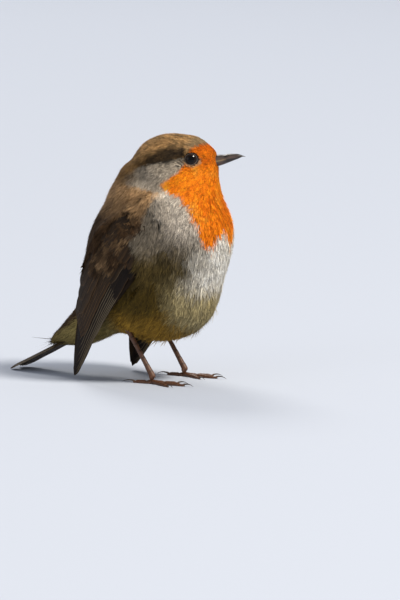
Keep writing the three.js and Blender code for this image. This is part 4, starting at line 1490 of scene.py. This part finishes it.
def body_coat(coat, sheets, cover):
    roots = scatter(feather_density)
    bend = np.any([over_wing(roots, side, sheet) for side, sheet in sheets.items()], axis=0)
    roots = roots[(bill_distance(roots) > 2.3) & (bend | ~under_wing(roots, sheets))]
    length = feather_length(roots) * RANDOM.uniform(0.8, 1.2, len(roots))
    length *= 0.35 + 0.65 * smoothstep(1.2, 2.6, eye_distance(roots))
    keep = clear_of_eyes(roots, length)
    roots, length = roots[keep], length[keep]
    depth = coat_depth(roots) * 0.85 + crest(roots)

    def lay(field, chosen, at, width, pairs, **looks):
        coat.add(field, at, length[chosen], length[chosen] * width, depth[chosen], pairs, **looks)

    small = length < 2.0
    lay(BODY_FIELD, small, roots[small], 0.31, 3, contrast=0.17)
    high = ~small & (plain(roots)[:, 2] > 76)
    lay(BODY_FIELD, high, roots[high], 0.26, 5, contrast=0.21, fringe=0.3)
    low = ~small & ~high
    for side, sheet in sheets.items():
        bend = low & over_wing(roots, side, sheet)
        low &= ~bend
        depth[bend] *= 0.8
        bend_coat(coat, side, sheet, cover)
        raised = cover.drop(roots[bend], sheet.out)
        tone = lambda points, offset=raised - roots[bend]: plumage(points - offset)
        lay(cover, bend, raised, 0.24, 5, lift=(0.0, 0.4), spread=11.0, tone=tone, contrast=0.2)
    lay(cover, low, roots[low], 0.24, 5, lift=(0.0, 0.5, 3), spread=13.0, contrast=0.2)


def loose_coat(coat, sheets):
    """Loose ends that soften the outlines of the back, flanks and belly."""
    roots = scatter(lambda p: 0.22 * smoothstep(80, 60, p[:, 2]))
    roots = roots[~under_wing(roots, sheets)]
    coat.add(BODY_FIELD, roots, feather_length(roots) * 1.15, 0.9, coat_depth(roots), 1, lift=(0.1, 0.9),
             spread=14.0, ragged=0.25, contrast=0.25)
    roots = scatter(lambda p: 0.16 * smoothstep(34, 26, p[:, 2]) * smoothstep(-8, 4, plain(p)[:, 0]))
    coat.add(BODY_FIELD, roots, (5.5, 9.5), 1.1, 1.6, 2, lift=(0.3, 3.0), spread=16.0, ragged=0.3,
             contrast=0.2)
    bristles_and_filoplumes(coat)


def dark_tone(level):
    """A tone for Coat.add that is the same grey everywhere."""
    return lambda points: np.full((len(points), 3), level)


def bristles_and_filoplumes(coat):
    """Stiff dark bristles at the corners of the gape, and a few hairs that stand out of the nape."""
    gape = [[0.6, 2.0 * sign, 0.1 - 0.45 * k] for sign in (1, -1) for k in range(6)]
    bill = from_head(BILL_BASE + np.array(gape))
    roots = BODY_FIELD.lay(bill + RANDOM.normal(size=bill.shape) * 0.2, np.full(len(bill), 0.2))
    coat.add(BODY_FIELD, roots, (2.0, 3.4), 0.16, 0.4, 0, lift=0.7, spread=14.0, tone=dark_tone(0.012),
             way=HEAD_AXES[0] - 0.5 * HEAD_AXES[2])
    x, _, z = plain(SKIN).T
    roots = SKIN[RANDOM.choice(np.where((x < -8) & (z > 78) & (z < 88))[0], 9)]
    coat.add(BODY_FIELD, roots, (5.0, 7.5), 0.12, 1.6, 0, lift=(0.8, 2.8), spread=20.0,
             tone=dark_tone(0.03))


def wing_roots(side, sheet, density, region):
    """Places on a CAD wing's outer face where region(share of length, share of width) holds."""
    points, tris = node_mesh(f"wing_{side}")
    normals = face_normals(points, tris)
    area = np.linalg.norm(normals, axis=1) / 2
    area[normals @ sheet.out < 0] = 0.0
    chosen = RANDOM.choice(len(tris), int(area.sum() * density), p=area / area.sum())
    roots = random_places(points, tris[chosen])
    along, width, _ = sheet.locate(roots)
    return roots[region(along, width)]


def covert_tone(points):
    """The small coverts on the wing's bend: nearly black and brown ones mixed by noise, both darkened with
    painted shade.
    """
    share = smoothstep(-0.7, 0.9, noise(points, 2.2, 16))
    return mix(WING_DARK * 1.3, SCAPULAR, share)


def shoulder_tone(points):
    """Scapulars and the small coverts under them: dark brown, with browner and buffer ones among them, all
    darkened with painted shade.
    """
    share = smoothstep(-0.5, 0.8, noise(points, 2.6, 14) + 0.3 * noise(points, 1.1, 15))
    return mix(SCAPULAR * 0.75, MANTLE * 0.5, share)


def shoulder_coat(coat, sheets, cover):
    """Scapulars over each wing's upper rear part, and small coverts on its bend."""
    rear_part = lambda s, c: (s < 0.36 - 0.3 * np.abs(c - 0.7)) & (c > 0.38) & (c < 0.9)
    bend_part = lambda s, c: (s > 0.05) & (s < 0.23) & (c > 0.06) & (c < 0.6)
    for side, sheet in sheets.items():
        drape = unit(sheet.along + np.array([-0.12, 0.0, 0.0]))
        roots = cover.drop(wing_roots(side, sheet, 0.8, rear_part), sheet.out)
        coat.add(cover, roots, (6.0, 9.0), (1.5, 2.1), (0.4, 0.9), 6, lift=(0.0, 0.5, 2), spread=11.0,
                 way=drape, tone=shoulder_tone, contrast=0.22, fringe=0.5)
        roots = cover.drop(wing_roots(side, sheet, 1.3, bend_part), sheet.out)
        coat.add(cover, roots, (3.0, 4.6), (0.9, 1.3), 0.5, 5, spread=10.0, way=sheet.along,
                 tone=covert_tone, contrast=0.2, fringe=0.6)


def make_plumage(sheets):
    wings = [slope for side, sheet in sheets.items() for slope in wing_slopes(side, sheet)]
    cover = BODY_FIELD.joined_with(wings, blend=3.0, margin=9.0, thickness=1.5)
    coat = Coat()
    body_coat(coat, sheets, cover)
    loose_coat(coat, sheets)
    shoulder_coat(coat, sheets, cover)
    coat.make()


def make_wings():
    sheets = {}
    for side in SIDES:
        sheets[side] = wing_sheet(side)
        make_wing_core(side, *wing_core(side, sheets[side]))
        vanes = Vanes()
        for row in INNER_ROWS:
            vanes.row(sheets[side], row, under=True)
        for row in OUTER_ROWS:
            vanes.row(sheets[side], row)
        vanes.make(f"wing_feathers_{side}")
    return sheets


FLOOR_REACH = 7000.0
FLOOR_COLORS = ((0.50, 0.55, 0.66, 1.0), (0.55, 0.60, 0.71, 1.0))


def make_stage():
    material, shader = new_material("pale_floor", Roughness=0.85)
    tree = material.node_tree
    texture = add_node(tree, "TexNoise", {"Scale": 3.0, "Detail": 3.0})
    ramp = add_node(tree, "ValToRGB", {"Fac": texture.outputs["Fac"]})
    for element, color in zip(ramp.color_ramp.elements, FLOOR_COLORS):
        element.color = color
    finish_shader(shader, ramp.outputs["Color"])
    turn = full_turn(96)
    points = FLOOR_REACH * np.stack([np.cos(turn), np.sin(turn), np.zeros(len(turn))], axis=1)
    build("floor", points, np.arange(len(turn))[None], material=material)


# ---------- camera and light ----------
VIEW_AZIMUTH, VIEW_ELEVATION = math.radians(30.0), math.radians(7.0)
PIXELS_PER_MM = 2.6
FRAME_PIXELS = (400, 600)
FEET_PIXEL = (168.0, 380.0)  # where the point on the floor between the feet shows
DISTANCE = 2.0
SENSOR = 36.0
VIEW_RIGHT = np.array([math.cos(VIEW_AZIMUTH), math.sin(VIEW_AZIMUTH), 0.0])
VIEW_AHEAD = np.array([-math.sin(VIEW_AZIMUTH), math.cos(VIEW_AZIMUTH), 0.0])  # on the level
VIEW_UP = VIEW_AHEAD * math.sin(VIEW_ELEVATION) + [0.0, 0.0, math.cos(VIEW_ELEVATION)]
VIEW_BACK = np.cross(VIEW_RIGHT, VIEW_UP)


def camera_target():
    right = (FRAME_PIXELS[0] / 2 - FEET_PIXEL[0]) / PIXELS_PER_MM
    up = (FEET_PIXEL[1] - FRAME_PIXELS[1] / 2) / PIXELS_PER_MM
    return (ORIGIN + right * VIEW_RIGHT + up * VIEW_UP) * MM


def make_camera():
    data = bpy.data.cameras.new("camera")
    camera = bpy.data.objects.new("camera", data)
    bpy.context.scene.collection.objects.link(camera)
    target = camera_target()
    placed = np.eye(4)
    placed[:3] = np.stack([VIEW_RIGHT, VIEW_UP, VIEW_BACK, target + VIEW_BACK * DISTANCE], axis=1)
    camera.matrix_world = Matrix(placed.tolist())
    frame_height = FRAME_PIXELS[1] / PIXELS_PER_MM * MM
    data.sensor_fit = "VERTICAL"
    data.sensor_height = SENSOR
    data.lens = SENSOR * DISTANCE / frame_height
    data.clip_end = 20.0
    bpy.context.scene.camera = camera
    return target


def area_light(name, target, place, size, power, color):
    """A round lamp that faces target, from place: metres to the camera's right, up and back from there."""
    data = bpy.data.lights.new(name, "AREA")
    data.shape = "DISK"
    data.size = size
    data.energy = power
    data.color = color
    light = bpy.data.objects.new(name, data)
    bpy.context.scene.collection.objects.link(light)
    right, up, back = place
    at = target + right * VIEW_RIGHT + up * VIEW_UP + back * VIEW_BACK
    light.location = at
    light.rotation_euler = Vector(at - target).to_track_quat("Z", "Y").to_euler()


def make_light(target):
    area_light("key", target, (2.5, 3.2, 2.0), size=1.2, power=238.0, color=(1.0, 0.93, 0.81))
    area_light("fill", target, (-2.4, 0.9, 2.6), size=2.0, power=9.0, color=(0.92, 0.95, 1.0))
    area_light("rim", target, (-0.8, 3.0, -2.5), size=1.5, power=60.0, color=(1.0, 0.95, 0.86))
    world = bpy.data.worlds.new("world")
    bpy.context.scene.world = world
    world.use_nodes = True
    background = world.node_tree.nodes["Background"]
    background.inputs["Color"].default_value = (0.90, 0.93, 1.0, 1.0)
    background.inputs["Strength"].default_value = 0.34
    bpy.context.scene.view_settings.view_transform = "Standard"


make_light(make_camera())
make_stage()
make_skin()
wing_sheets = make_wings()
make_plumage(wing_sheets)
tail_feathers()
bill_half("bill_upper", True)
bill_half("bill_lower", False)
for side_name in SIDES:
    eye(side_name)
    eyelids(side_name)
    leg(side_name)
